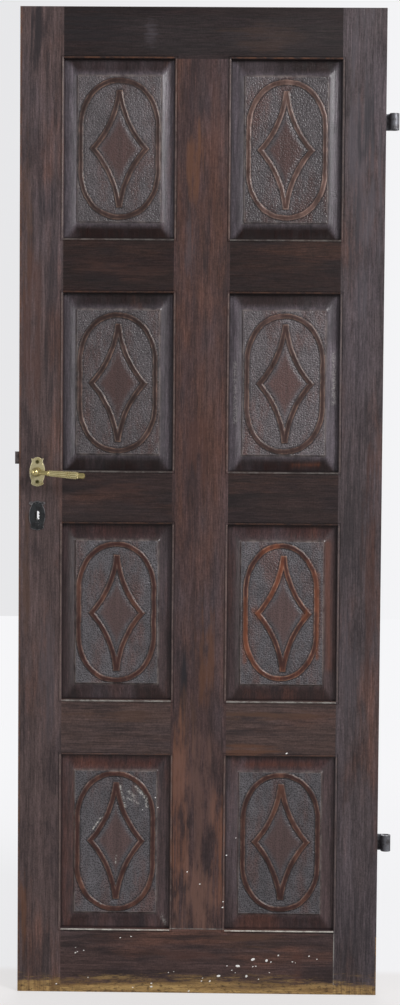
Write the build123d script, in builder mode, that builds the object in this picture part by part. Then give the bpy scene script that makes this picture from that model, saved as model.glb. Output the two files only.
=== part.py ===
from build123d import *
import math
import os

os.makedirs("parts", exist_ok=True)

# Carved door leaf, in millimetres. Z is up and the front face looks towards -Y. The origin is on the
# hinge axis, halfway up the lower hinge eye, and the leaf reaches from there towards -X.

# Leaf and frame members
leaf_width = 735.0
leaf_height = 2000.0
leaf_thick = 40.0
lock_stile_width = 88.0
hinge_stile_width = 88.0
muntin_width = 113.0
top_rail_height = 103.0
bottom_rail_height = 132.0
cross_rail_heights = (110.0, 109.0, 114.0)

# Frame joints
tenon_thick = 12.0
tenon_shoulder = 22.0
rail_tenon_length = 62.0
muntin_tenon_length = 40.0
cross_tenon_length = 22.0
tenon_clearance = 0.15
mortise_end_gap = 0.8

# Bead stuck on the front edges of the openings, and the eased edges at the back
bead_width = 4.6
quirk_width = 1.2
quirk_depth = 1.4
bead_ease_wide = 2.4
bead_ease_deep = 2.6
bead_ease_share = 0.35
back_ease = 2.0

# Panels: each floats in a groove, with a coved margin up to its carved field
margin_depth = 11.0
tongue_thick = 12.0
tongue_length = 10.0
groove_depth = 12.0
groove_clearance = 0.2
margin_side = 27.5
margin_end = 33.0
cove_top_depth = 6.2
cove_sagitta = 2.0
ground_depth = 4.2
back_margin = 30.0
back_margin_depth = 12.5
back_field_depth = 10.0

# Carving: an oval band, a diamond band with hollow flanks, and a pillow inside it
band_width = 11.0
band_height = 2.4
band_shoulder_height = 1.6
band_shoulder_inset = 0.8
band_top_inset = 3.0
oval_inset = 2.0
oval_end_height = 96.0
oval_shoulder_radius = 112.0
diamond_side_inset = 24.0
diamond_end_inset = 27.0
diamond_tip_width = 13.0
diamond_hollow = 11.0
pillow_slope = 10.0
pillow_height = 1.7

# How far each hand-cut oval and diamond strays from the pattern: growth in width and height, then
# its shift across and up
carving_strays = {
    "panel_1_left": ((2.0, -4.0, 0.5, 0.0), (2.0, -2.0, 0.5, 0.0)),
    "panel_1_right": ((1.0, -6.0, 1.0, -1.0), (-2.0, -1.0, -0.5, -1.5)),
    "panel_2_left": ((-1.0, -3.0, -1.0, -2.0), (1.0, 2.0, 0.0, -2.0)),
    "panel_2_right": ((0.0, -3.0, 1.0, -2.0), (-1.0, 3.0, 2.0, -1.5)),
    "panel_3_left": ((0.0, 1.0, -1.0, -0.5), (-3.0, 0.0, 0.0, -2.0)),
    "panel_3_right": ((-9.0, -6.0, -2.0, 2.0), (-2.0, 0.0, 2.5, -1.0)),
    "panel_4_left": ((2.0, 2.0, -1.0, 1.0), (0.0, 5.0, 1.0, 2.5)),
    "panel_4_right": ((0.0, 0.0, 1.0, 2.0), (1.0, 2.0, 2.0, 2.5)),
}

# Hinge eyes and the straps let into the back face
eye_outer_radius = 10.0
eye_bore_radius = 6.0
eye_height = 33.0
eye_neck = 9.0
strap_length = 66.0
strap_clearance = 0.1
lower_eye_height = 308.5
upper_eye_drop = 221.0
hinge_screw_count = 3
hinge_screw_pitch = 21.0
hinge_screw_inset = 12.0
hinge_screw_length = 25.0
hinge_screw_head_radius = 4.6
hinge_screw_shank_radius = 2.2

# Lock and lever places
lever_height = 1067.0
lever_to_key = 89.0
lock_backset = 37.4

# Lever, plates and spindle
plate_thick = 2.5
plate_crown_side = (7.5, 3.8)
plate_crown_middle = (11.0, 1.1)
plate_horn = (2.9, 3.0)
plate_upper_waist = (4.6, 8.5)
plate_bulge = (2.3, 15.0)
plate_lower_waist = (3.9, 10.0)
plate_foot_horn = (2.6, 5.4)
plate_foot_side = (6.0, 2.8)
plate_rim = 1.1
plate_step = 0.9
lever_plate_width = 31.0
lever_plate_height = 60.0
key_plate_width = 33.0
key_plate_height = 60.0
lever_journal_radius = 8.0
lever_journal_depth = 4.0
lever_collar_radius = 9.2
lever_collar_length = 3.0
lever_waist_radius = 6.8
lever_boss_radius = 8.6
lever_standoff = 42.0
lever_reach = 100.5
lever_droop = 4.0
grip_neck_radius = 4.7
grip_bead_radius = 6.3
grip_bead_place = 26.0
grip_bead_width = 5.0
grip_start_radius = 5.4
grip_end_radius = 7.1
grip_end_place = 83.5
grip_groove_radius = 5.2
grip_groove_width = 3.5
finial_radius = 5.9
finial_dome = 3.0
spindle_width = 8.0
spindle_clearance = 0.05
spindle_socket = 22.0
spindle_hole_radius = 9.0
running_clearance = 0.05
pin_radius = 1.25
pin_place = 14.0
plate_screw_spacing = 40.5
key_screw_spacing = 48.0
plate_screw_length = 12.0
plate_screw_head_radius = 2.9
plate_screw_shank_radius = 1.3
screw_clearance = 0.05

# Keyhole: a slot with two wards on one side
keyhole_width = 9.2
keyhole_height = 19.5
keyhole_ward = 1.3
keyhole_ward_height = 2.6
keyhole_ward_pitch = 6.0
stile_keyhole_spare = 0.8

# Mortise lock
case_depth = 60.0
case_height = 182.0
case_thick = 15.0
case_wall = 1.5
case_rise = 52.0
case_pocket_gap = 0.5
post_radius = 3.2
post_inset = 7.0
cover_screw_radius = 1.4
cover_screw_head_radius = 2.6
cover_screw_length = 9.0
forend_width = 22.0
forend_thick = 3.0
forend_tab = 18.0
forend_clearance = 0.1
forend_screw_length = 22.0
forend_screw_head_radius = 3.8
forend_screw_shank_radius = 1.8
bolt_clearance = 0.3
bolt_height = 25.0
latch_rise = 28.0
latch_throw = 10.7
latch_bevel = 7.5
latch_nose = 2.0
latch_head_length = 20.0
latch_tail_height = 8.0
latch_tail_thick = 6.0
latch_tail_end = 47.7
latch_leg_width = 5.0
latch_leg_rise = 8.4
hub_radius = 7.5
hub_journal_radius = 6.9
hub_arm_width = 5.0
hub_arm_reach = 18.5
spring_thick = 0.7
spring_width = 7.0
latch_spring_half = 15.0
dead_bolt_rise = 25.0
dead_head_length = 26.0
dead_tail_height = 14.0
dead_tail_thick = 5.0
dead_tail_end = 55.0
talon_width = 6.0
talon_depth = 5.0
dead_spring_start = 26.0
dead_spring_bow = 1.5

# Places worked out from the sizes above
x_hinge_edge = -(eye_outer_radius + eye_neck)
x_lock_edge = x_hinge_edge - leaf_width
z_bottom = -lower_eye_height
z_top = z_bottom + leaf_height
y_back = eye_outer_radius
y_front = y_back - leaf_thick
y_tongue = y_front + margin_depth + tongue_thick / 2
y_lock = y_front + leaf_thick / 2
z_upper_eye = z_top - upper_eye_drop
strap_thick = eye_outer_radius - eye_bore_radius
opening_width = (leaf_width - lock_stile_width - hinge_stile_width - muntin_width) / 2
opening_height = (leaf_height - top_rail_height - bottom_rail_height - sum(cross_rail_heights)) / 4
rail_length = leaf_width - lock_stile_width - hinge_stile_width
x_lock_side = x_lock_edge + lock_stile_width
x_hinge_side = x_hinge_edge - hinge_stile_width
column_x = (x_lock_side + opening_width / 2, x_hinge_side - opening_width / 2)
x_muntin = (x_lock_side + x_hinge_side) / 2
z_rail_top = z_top - top_rail_height
z_rail_bottom = z_bottom + bottom_rail_height
row_z = []
cross_rail_z = []
z_walk = z_rail_top
for height in (*cross_rail_heights, 0.0):
    row_z.append(z_walk - opening_height / 2)
    z_walk -= opening_height + height
    cross_rail_z.append(z_walk + height / 2)
opening_places = [(x, z) for z in row_z for x in column_x]
x_lever = x_lock_edge + lock_backset
z_lever = z_bottom + lever_height
z_key = z_lever - lever_to_key
x_case = x_lock_edge + forend_thick
z_case_top = z_lever + case_rise
z_case = z_case_top - case_height / 2
case_floor_y = y_lock - case_thick / 2
cover_y = y_lock + case_thick / 2 - case_wall
inner_thick = case_thick - 2 * case_wall
z_latch = z_lever + latch_rise
z_dead = z_key + dead_bolt_rise
field_width = opening_width - 2 * margin_side
field_height = opening_height - 2 * margin_end

# Levels of the carving: the rise above the ground, and how far its outline has drawn in there
band_rounding = (
    (0.0, 0.0),
    (band_shoulder_height, band_shoulder_inset),
    (band_height, band_top_inset),
)
band_inside = [(rise, band_width - inset) for rise, inset in band_rounding]
pillow_rise = ((0.0, band_width), (pillow_height, band_width + pillow_slope))


def finish(piece, label):
    """Name a finished piece and write it out."""
    piece.part.label = label
    export_step(piece.part, f"parts/{label}.step")


def front_plane(depth=0.0):
    """A plane at a depth behind the front face, looking out of it, with Z up."""
    return Plane(origin=(0, y_front + depth, 0), x_dir=(1, 0, 0), z_dir=(0, -1, 0))


def back_plane(depth=0.0):
    """A plane at a depth behind the back face, looking out of it, with Z up."""
    return Plane(origin=(0, y_back - depth, 0), x_dir=(-1, 0, 0), z_dir=(0, 1, 0))


def block(width, thick, height, at, mode=Mode.ADD):
    """A box by its centre, for the part that is being built."""
    with Locations(at):
        Box(width, thick, height, mode=mode)


def screw_shape(length, head_radius, shank_radius, grow=0.0):
    """A countersunk screw with its head level with Z = 0 and its shank towards -Z."""
    head_height = head_radius - shank_radius
    with BuildPart() as screw:
        with BuildSketch(Plane.XZ):
            with BuildLine():
                Polyline(
                    (0, 0),
                    (head_radius + grow, 0),
                    (shank_radius + grow, -head_height),
                    (shank_radius + grow, -length + shank_radius),
                    (0, -length - grow),
                    close=True,
                )
            make_face()
        revolve(axis=Axis.Z)
    return screw.part


def facing_front(x, z, proud=0.0):
    """Where a screw goes in from the front face, so far proud of it."""
    return Location((x, y_front - proud, z), (90, 0, 0))


def facing_back(x, z, proud=0.0):
    """Where a screw goes in from the back face, so far proud of it."""
    return Location((x, y_back + proud, z), (-90, 0, 0))


def cut_screws(places, length, head_radius, shank_radius):
    """Cut the holes of a row of screws in the part that is being built."""
    hole = screw_shape(length, head_radius, shank_radius, screw_clearance)
    with Locations(*places):
        add(hole, mode=Mode.SUBTRACT)


# Places of the screws
hinge_screw_x = [
    x_hinge_edge - hinge_screw_inset - hinge_screw_pitch * turn for turn in range(hinge_screw_count)
]
hinge_screws_lower = [facing_back(x, 0) for x in hinge_screw_x]
hinge_screws_upper = [facing_back(x, z_upper_eye) for x in hinge_screw_x]
lever_screw_z = (z_lever - plate_screw_spacing / 2, z_lever + plate_screw_spacing / 2)
key_screw_z = (z_key - key_screw_spacing / 2, z_key + key_screw_spacing / 2)
lever_screws_front = [facing_front(x_lever, z, plate_thick) for z in lever_screw_z]
lever_screws_back = [facing_back(x_lever, z, plate_thick) for z in lever_screw_z]
key_screws_front = [facing_front(x_lever, z, plate_thick) for z in key_screw_z]
key_screws_back = [facing_back(x_lever, z, plate_thick) for z in key_screw_z]
forend_screw_z = (
    z_case - case_height / 2 - forend_tab / 2,
    z_case + case_height / 2 + forend_tab / 2,
)
forend_screws_in = [Location((x_lock_edge, y_lock, z), (0, -90, 0)) for z in forend_screw_z]


# The bead's rounding in two facets: how wide and how deep it is eased where each begins and ends
bead_easing = (
    (bead_ease_wide, 0.0),
    (bead_ease_wide * bead_ease_share, bead_ease_deep * bead_ease_share),
    (0.0, bead_ease_deep),
)

# Cutter for one opening: the panel's groove, the bead at the front and the eased edge at the back
with BuildPart() as opening_cutter:
    block(
        opening_width + 2 * groove_depth,
        tongue_thick + 2 * groove_clearance,
        opening_height + 2 * groove_depth,
        (0, y_tongue, 0),
    )
    for facet in zip(bead_easing, bead_easing[1:]):
        for widen, depth in facet:
            with BuildSketch(front_plane(depth)):
                Rectangle(opening_width + 2 * widen, opening_height + 2 * widen)
        loft(ruled=True)
    with BuildSketch(front_plane()):
        quirk_outer = bead_width + quirk_width
        Rectangle(opening_width + 2 * quirk_outer, opening_height + 2 * quirk_outer)
        Rectangle(
            opening_width + 2 * bead_width,
            opening_height + 2 * bead_width,
            mode=Mode.SUBTRACT,
        )
    extrude(amount=-quirk_depth)
    with BuildSketch(back_plane()):
        Rectangle(opening_width + 2 * back_ease, opening_height + 2 * back_ease)
    with BuildSketch(back_plane(back_ease)):
        Rectangle(opening_width, opening_height)
    loft(ruled=True)


def cut_openings():
    """Cut every opening's groove, bead and eased edge out of the part that is being built."""
    with Locations(*[(x, 0, z) for x, z in opening_places]):
        add(opening_cutter.part, mode=Mode.SUBTRACT)


# Mortises in both stiles: the top and bottom rails go deep, the cross rails are stubbed
rail_joints = [
    ((z_top + z_rail_top) / 2, top_rail_height - 2 * tenon_shoulder, rail_tenon_length),
    ((z_bottom + z_rail_bottom) / 2, bottom_rail_height - 2 * tenon_shoulder, rail_tenon_length),
]
for height, z in zip(cross_rail_heights, cross_rail_z):
    rail_joints.append((z, height - 2 * tenon_shoulder, cross_tenon_length))


def cut_mortises(x_edge, side, joints):
    """Cut a row of mortises into an upright edge; side is +1 where they go towards +X."""
    for z, height, length in joints:
        deep = length + mortise_end_gap
        block(
            deep,
            tenon_thick + 2 * tenon_clearance,
            height + 2 * tenon_clearance,
            (x_edge + side * deep / 2, y_tongue, z),
            Mode.SUBTRACT,
        )


def warded_keyhole(ward_side):
    """The keyhole's outline about its middle, with its two wards on the side given as +1 or -1."""
    ward_x = ward_side * keyhole_width / 2
    with BuildSketch() as hole:
        SlotOverall(keyhole_height, keyhole_width, rotation=90)
        with Locations(*[(ward_x, turn * keyhole_ward_pitch / 2) for turn in (-1, 1)]):
            Rectangle(2 * keyhole_ward, keyhole_ward_height, mode=Mode.SUBTRACT)
    return hole.sketch


def lever_bearing():
    """The round hole in which a lever turns."""
    with BuildSketch() as hole:
        Circle(lever_journal_radius + running_clearance)
    return hole.sketch


# Lock stile, with the lock's pocket, the forend's recess and the holes of the furniture
with BuildPart() as lock_stile:
    block(
        lock_stile_width,
        leaf_thick,
        leaf_height,
        (x_lock_edge + lock_stile_width / 2, y_front + leaf_thick / 2, z_bottom + leaf_height / 2),
    )
    cut_openings()
    cut_mortises(x_lock_side, -1, rail_joints)
    pocket_depth = forend_thick + case_depth + case_pocket_gap
    block(
        pocket_depth,
        case_thick + 2 * case_pocket_gap,
        case_height + 2 * case_pocket_gap,
        (x_lock_edge + pocket_depth / 2, y_lock, z_case),
        Mode.SUBTRACT,
    )
    block(
        forend_thick,
        forend_width + 2 * forend_clearance,
        case_height + 2 * forend_tab + 2 * forend_clearance,
        (x_lock_edge + forend_thick / 2, y_lock, z_case),
        Mode.SUBTRACT,
    )
    with BuildSketch(front_plane()):
        with Locations((x_lever, z_lever)):
            Circle(spindle_hole_radius)
        with Locations((x_lever, z_key)):
            SlotOverall(
                keyhole_height + 2 * stile_keyhole_spare,
                keyhole_width + 2 * stile_keyhole_spare,
                rotation=90,
            )
    extrude(amount=-leaf_thick, mode=Mode.SUBTRACT)
    plate_holes = (*lever_screws_front, *lever_screws_back, *key_screws_front, *key_screws_back)
    cut_screws(plate_holes, plate_screw_length, plate_screw_head_radius, plate_screw_shank_radius)
    cut_screws(
        forend_screws_in,
        forend_screw_length,
        forend_screw_head_radius,
        forend_screw_shank_radius,
    )
finish(lock_stile, "lock_stile")

# Hinge stile, with the straps' recesses in its back face
with BuildPart() as hinge_stile:
    block(
        hinge_stile_width,
        leaf_thick,
        leaf_height,
        (x_hinge_edge - hinge_stile_width / 2, y_front + leaf_thick / 2, z_bottom + leaf_height / 2),
    )
    cut_openings()
    cut_mortises(x_hinge_side, 1, rail_joints)
    for z in (0.0, z_upper_eye):
        block(
            strap_length + strap_clearance,
            strap_thick,
            eye_height + 2 * strap_clearance,
            (x_hinge_edge - (strap_length + strap_clearance) / 2, y_back - strap_thick / 2, z),
            Mode.SUBTRACT,
        )
    cut_screws(
        (*hinge_screws_lower, *hinge_screws_upper),
        hinge_screw_length,
        hinge_screw_head_radius,
        hinge_screw_shank_radius,
    )
finish(hinge_stile, "hinge_stile")


def long_rail(z_low, height, mortise_side):
    """A rail between the stiles, tenoned into both, with a mortise for the muntin's end."""
    with BuildPart() as rail:
        z_rail = z_low + height / 2
        y_rail = y_front + leaf_thick / 2
        block(rail_length, leaf_thick, height, (x_muntin, y_rail, z_rail))
        block(
            rail_length + 2 * rail_tenon_length,
            tenon_thick,
            height - 2 * tenon_shoulder,
            (x_muntin, y_tongue, z_rail),
        )
        cut_openings()
        deep = muntin_tenon_length + mortise_end_gap
        z_edge = z_rail + mortise_side * height / 2
        block(
            muntin_width - 2 * tenon_shoulder + 2 * tenon_clearance,
            tenon_thick + 2 * tenon_clearance,
            deep,
            (x_muntin, y_tongue, z_edge - mortise_side * deep / 2),
            Mode.SUBTRACT,
        )
    return rail


# Top and bottom rails
finish(long_rail(z_rail_top, top_rail_height, -1), "top_rail")
finish(long_rail(z_bottom, bottom_rail_height, 1), "bottom_rail")

# Muntin, one length from the top rail to the bottom rail
with BuildPart() as muntin:
    muntin_length = z_rail_top - z_rail_bottom
    z_muntin = (z_rail_top + z_rail_bottom) / 2
    block(muntin_width, leaf_thick, muntin_length, (x_muntin, y_front + leaf_thick / 2, z_muntin))
    block(
        muntin_width - 2 * tenon_shoulder,
        tenon_thick,
        muntin_length + 2 * muntin_tenon_length,
        (x_muntin, y_tongue, z_muntin),
    )
    cut_openings()
    cut_mortises(x_muntin - muntin_width / 2, 1, rail_joints[2:])
    cut_mortises(x_muntin + muntin_width / 2, -1, rail_joints[2:])
finish(muntin, "muntin")


def cross_rail(x, z, height):
    """A short rail between a stile and the muntin, with a stub tenon at each end."""
    with BuildPart() as rail:
        block(opening_width, leaf_thick, height, (x, y_front + leaf_thick / 2, z))
        block(
            opening_width + 2 * cross_tenon_length,
            tenon_thick,
            height - 2 * tenon_shoulder,
            (x, y_tongue, z),
        )
        cut_openings()
    return rail


# Cross rails, two at each level
for level, height in enumerate(cross_rail_heights):
    for side, x in zip(("left", "right"), column_x):
        finish(cross_rail(x, cross_rail_z[level], height), f"cross_rail_{level + 1}_{side}")


def panel_section(half, margin):
    """Half a panel's thickness each way from its middle: tongue, cove, field, and the plain back."""
    y_margin = y_front + margin_depth
    y_cove = y_front + cove_top_depth
    y_ground = y_front + ground_depth
    y_tongue_back = y_margin + tongue_thick
    y_slope = y_back - back_margin_depth
    y_field_back = y_back - back_field_depth
    edge = half + tongue_length
    with BuildSketch() as section:
        with BuildLine():
            Polyline((-half, y_margin), (-edge, y_margin), (-edge, y_tongue_back), (-half, y_tongue_back))
            Polyline(
                (-half, y_tongue_back),
                (-half + back_margin, y_slope),
                (-half + back_margin, y_field_back),
                (half - back_margin, y_field_back),
                (half - back_margin, y_slope),
                (half, y_tongue_back),
            )
            Polyline((half, y_tongue_back), (edge, y_tongue_back), (edge, y_margin), (half, y_margin))
            SagittaArc((half, y_margin), (half - margin, y_cove), cove_sagitta)
            Polyline(
                (half - margin, y_cove),
                (half - margin, y_ground),
                (-half + margin, y_ground),
                (-half + margin, y_cove),
            )
            SagittaArc((-half + margin, y_cove), (-half, y_margin), cove_sagitta)
        make_face()
    return section.sketch


def oval(width, height, inset):
    """An oval of straight sides and three-centred ends, drawn so far inside its outline."""
    half_width = width / 2 - inset
    end_height = oval_end_height - inset
    shoulder = oval_shoulder_radius - inset
    spring = height / 2 - oval_end_height
    reach = half_width - shoulder
    rise = end_height - shoulder
    crown_shift = (reach**2 - rise**2) / (2 * rise)
    crown = end_height + crown_shift
    centre_gap = math.hypot(reach, crown_shift)
    join = (
        reach - shoulder * reach / centre_gap,
        spring - shoulder * crown_shift / centre_gap,
    )
    middle_angle = math.atan2(join[1] - spring, join[0] - reach) / 2
    shoulder_middle = (
        reach + shoulder * math.cos(middle_angle),
        spring + shoulder * math.sin(middle_angle),
    )
    crown_top = (0, spring - crown_shift + crown)
    crown_angle = math.atan2(join[1] - spring + crown_shift, join[0])
    crown_middle_angle = (crown_angle + math.pi / 2) / 2
    crown_middle = (
        crown * math.cos(crown_middle_angle),
        spring - crown_shift + crown * math.sin(crown_middle_angle),
    )
    with BuildSketch() as shape:
        with BuildLine():
            Line((half_width, 0), (half_width, spring))
            ThreePointArc((half_width, spring), shoulder_middle, join)
            ThreePointArc(join, crown_middle, crown_top)
            mirror(about=Plane.YZ)
            mirror(about=Plane.XZ)
        make_face()
    return shape.sketch


def diamond(width, height, inset):
    """A diamond with hollow flanks, drawn so far inside its outline."""
    side = (width / 2, 0.0)
    tip = (diamond_tip_width / 2, height / 2)
    run = (tip[0] - side[0], tip[1] - side[1])
    chord = math.hypot(*run)
    radius = (chord**2 / 4 + diamond_hollow**2) / (2 * diamond_hollow)
    outward = (run[1] / chord, -run[0] / chord)
    centre = (
        (side[0] + tip[0]) / 2 + outward[0] * (radius - diamond_hollow),
        (side[1] + tip[1]) / 2 + outward[1] * (radius - diamond_hollow),
    )
    radius += inset
    side = (centre[0] - math.sqrt(radius**2 - centre[1] ** 2), 0.0)
    tip_height = height / 2 - inset
    tip = (centre[0] - math.sqrt(radius**2 - (centre[1] - tip_height) ** 2), tip_height)
    if tip[0] <= 0:
        tip = (0.0, centre[1] - math.sqrt(radius**2 - centre[0] ** 2))
    to_middle = ((side[0] + tip[0]) / 2 - centre[0], (side[1] + tip[1]) / 2 - centre[1])
    share = radius / math.hypot(*to_middle)
    middle = (centre[0] + to_middle[0] * share, centre[1] + to_middle[1] * share)
    with BuildSketch() as shape:
        with BuildLine():
            ThreePointArc(side, middle, tip)
            if tip[0] > 0:
                Line(tip, (0, tip[1]))
            mirror(about=Plane.YZ)
            mirror(about=Plane.XZ)
        make_face()
    return shape.sketch


def carved_layer(shape, place, size, levels, mode=Mode.ADD):
    """Add or cut a low relief whose outline draws in by so much at each rise above the ground."""
    for rise, inset in levels:
        with BuildSketch(front_plane(ground_depth - rise)) as level:
            with Locations(place):
                add(shape(*size, inset))
        add(level.sketch)
    loft(ruled=True, mode=mode)


def carved_panel(x, z, oval_stray, diamond_stray):
    """A panel with its coved margin, oval band, diamond band and pillow."""
    half_width = opening_width / 2
    half_height = opening_height / 2
    oval_width = field_width - 2 * oval_inset + oval_stray[0]
    oval_height = field_height - 2 * oval_inset + oval_stray[1]
    diamond_width = field_width - 2 * diamond_side_inset + diamond_stray[0]
    diamond_height = field_height - 2 * diamond_end_inset + diamond_stray[1]
    oval_place = (x + oval_stray[2], z + oval_stray[3])
    diamond_place = (x + diamond_stray[2], z + diamond_stray[3])
    with BuildPart() as panel:
        z_low = z - half_height - tongue_length
        with BuildSketch(Plane(origin=(x, 0, z_low), x_dir=(1, 0, 0), z_dir=(0, 0, 1))):
            add(panel_section(half_width, margin_side))
        extrude(amount=2 * (half_height + tongue_length))
        x_high = x + half_width + tongue_length
        with BuildSketch(Plane(origin=(x_high, 0, z), x_dir=(0, 0, 1), z_dir=(-1, 0, 0))):
            add(panel_section(half_height, margin_end))
        extrude(amount=2 * (half_width + tongue_length), mode=Mode.INTERSECT)
        for shape, place, size in (
            (oval, oval_place, (oval_width, oval_height)),
            (diamond, diamond_place, (diamond_width, diamond_height)),
        ):
            carved_layer(shape, place, size, band_rounding)
            carved_layer(shape, place, size, band_inside, Mode.SUBTRACT)
        carved_layer(diamond, diamond_place, (diamond_width, diamond_height), pillow_rise)
    return panel


# Carved panels, four rows of two
for row, z in enumerate(row_z):
    for side, x in zip(("left", "right"), column_x):
        name = f"panel_{row + 1}_{side}"
        finish(carved_panel(x, z, *carving_strays[name]), name)


def hinge_strap(z, screws):
    """A strap that is let into the back face, with its end rolled into the eye."""
    with BuildPart() as strap:
        with BuildSketch(Plane.XY.offset(z - eye_height / 2)):
            Circle(eye_outer_radius)
            with Locations((-(eye_outer_radius + eye_neck + strap_length) / 2, y_back - strap_thick / 2)):
                Rectangle(eye_outer_radius + eye_neck + strap_length, strap_thick)
            Circle(eye_bore_radius, mode=Mode.SUBTRACT)
        extrude(amount=eye_height)
        cut_screws(screws, hinge_screw_length, hinge_screw_head_radius, hinge_screw_shank_radius)
    return strap


# Hinge straps and their screws
finish(hinge_strap(0.0, hinge_screws_lower), "hinge_strap_lower")
finish(hinge_strap(z_upper_eye, hinge_screws_upper), "hinge_strap_upper")


def screw_group(places, length, head_radius, shank_radius):
    """Like screws in their holes, as separate solids in one piece."""
    with BuildPart() as group:
        with Locations(*places):
            add(screw_shape(length, head_radius, shank_radius))
    return group


finish(
    screw_group(
        (*hinge_screws_lower, *hinge_screws_upper),
        hinge_screw_length,
        hinge_screw_head_radius,
        hinge_screw_shank_radius,
    ),
    "hinge_screws",
)
finish(
    screw_group(
        (*lever_screws_front, *lever_screws_back),
        plate_screw_length,
        plate_screw_head_radius,
        plate_screw_shank_radius,
    ),
    "lever_plate_screws",
)
finish(
    screw_group(
        (*key_screws_front, *key_screws_back),
        plate_screw_length,
        plate_screw_head_radius,
        plate_screw_shank_radius,
    ),
    "key_plate_screws",
)
finish(
    screw_group(
        forend_screws_in,
        forend_screw_length,
        forend_screw_head_radius,
        forend_screw_shank_radius,
    ),
    "forend_screws",
)


def ornate_plate(width, height):
    """The plates' outline: an arched crown, two horns, bulging sides, a horned and pointed foot."""
    half = width / 2
    top = height / 2

    def upper(inset):
        return (half - inset[0], top - inset[1])

    def lower(inset):
        return (half - inset[0], inset[1] - top)

    with BuildSketch() as outline:
        with BuildLine():
            ThreePointArc((0, top), upper(plate_crown_middle), upper(plate_crown_side))
            Line(upper(plate_crown_side), upper(plate_horn))
            ThreePointArc(upper(plate_horn), upper(plate_upper_waist), upper(plate_bulge))
            ThreePointArc(upper(plate_bulge), (half, 0), lower(plate_bulge))
            ThreePointArc(lower(plate_bulge), lower(plate_lower_waist), lower(plate_foot_horn))
            Line(lower(plate_foot_horn), lower(plate_foot_side))
            Line(lower(plate_foot_side), (0, -top))
            mirror(about=Plane.YZ)
        make_face()
    return outline.sketch


def face_plate(plane, width, height, z, hole, screws):
    """An ornate plate on a face of the leaf: a stepped rim, a hole in its middle, and its screws'."""
    with BuildPart() as plate:
        with BuildSketch(plane):
            with Locations((x_lever * plane.x_dir.X, z)):
                add(ornate_plate(width, height))
        extrude(amount=plate_thick - plate_step)
        with BuildSketch(plane):
            with Locations((x_lever * plane.x_dir.X, z)):
                add(ornate_plate(width, height))
            offset(amount=-plate_rim, kind=Kind.INTERSECTION)
        extrude(amount=plate_thick)
        with BuildSketch(plane):
            with Locations((x_lever * plane.x_dir.X, z)):
                add(hole)
        extrude(amount=plate_thick, mode=Mode.SUBTRACT)
        cut_screws(screws, plate_screw_length, plate_screw_head_radius, plate_screw_shank_radius)
    return plate


# Plates: round bearings for the levers, and keyholes for the key
for side, plane, lever_screws, key_screws in (
    ("front", front_plane(), lever_screws_front, key_screws_front),
    ("back", back_plane(), lever_screws_back, key_screws_back),
):
    lever_hole = lever_bearing()
    key_hole = warded_keyhole(plane.x_dir.X)
    finish(
        face_plate(plane, lever_plate_width, lever_plate_height, z_lever, lever_hole, lever_screws),
        f"lever_plate_{side}",
    )
    finish(
        face_plate(plane, key_plate_width, key_plate_height, z_key, key_hole, key_screws),
        f"key_plate_{side}",
    )

# Front lever: a turned neck out of the plate, and a turned grip that droops a little
with BuildPart() as lever_front:
    neck_plane = Plane(origin=(x_lever, y_front, z_lever), x_dir=(-1, 0, 0), z_dir=(0, 0, 1))
    collar_start = plate_thick + bolt_clearance
    collar_end = collar_start + lever_collar_length
    with BuildSketch(neck_plane):
        with BuildLine():
            Polyline(
                (0, -lever_journal_depth),
                (lever_journal_radius, -lever_journal_depth),
                (lever_journal_radius, collar_start),
                (lever_collar_radius, collar_start),
                (lever_collar_radius, collar_end),
                (lever_journal_radius, collar_end),
            )
            waist_place = (collar_end + lever_standoff) / 2
            ThreePointArc(
                (lever_journal_radius, collar_end),
                (lever_waist_radius, waist_place),
                (lever_boss_radius, lever_standoff),
            )
            dome = lever_standoff + lever_boss_radius
            ThreePointArc(
                (lever_boss_radius, lever_standoff),
                (lever_boss_radius * math.sqrt(0.5), lever_standoff + lever_boss_radius * math.sqrt(0.5)),
                (0, dome),
            )
            Line((0, dome), (0, -lever_journal_depth))
        make_face()
    spindle_axis = Axis((x_lever, 0, z_lever), (0, 1, 0))
    revolve(axis=spindle_axis)
    droop = math.radians(lever_droop)
    grip_way = (math.cos(droop), 0, -math.sin(droop))
    grip_origin = (x_lever, y_front - lever_standoff, z_lever)
    with BuildSketch(Plane(origin=grip_origin, x_dir=grip_way, z_dir=(0, 1, 0))):
        bead_start = grip_bead_place - grip_bead_width / 2
        bead_end = grip_bead_place + grip_bead_width / 2
        groove_end = grip_end_place + grip_groove_width
        finial_end = lever_reach - finial_dome
        dome_radius = (finial_dome**2 + finial_radius**2) / (2 * finial_dome)
        dome_centre = lever_reach - dome_radius
        dome_angle = math.asin(finial_radius / dome_radius) / 2
        dome_middle = (
            dome_centre + dome_radius * math.cos(dome_angle),
            dome_radius * math.sin(dome_angle),
        )
        with BuildLine():
            Line((0, 0), (0, grip_neck_radius))
            Line((0, grip_neck_radius), (bead_start, grip_neck_radius))
            ThreePointArc(
                (bead_start, grip_neck_radius),
                (grip_bead_place, grip_bead_radius),
                (bead_end, grip_neck_radius),
            )
            Polyline(
                (bead_end, grip_neck_radius),
                (bead_end, grip_start_radius),
                (grip_end_place, grip_end_radius),
                (grip_end_place, grip_groove_radius),
                (groove_end, grip_groove_radius),
                (groove_end, finial_radius),
                (finial_end, finial_radius),
            )
            ThreePointArc((finial_end, finial_radius), dome_middle, (lever_reach, 0))
            Line((lever_reach, 0), (0, 0))
        make_face()
    revolve(axis=Axis(grip_origin, grip_way))
    socket_depth = lever_journal_depth + spindle_socket
    block(
        spindle_width + 2 * spindle_clearance,
        socket_depth,
        spindle_width + 2 * spindle_clearance,
        (x_lever, y_front + lever_journal_depth - socket_depth / 2, z_lever),
        Mode.SUBTRACT,
    )
finish(lever_front, "lever_front")

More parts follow.
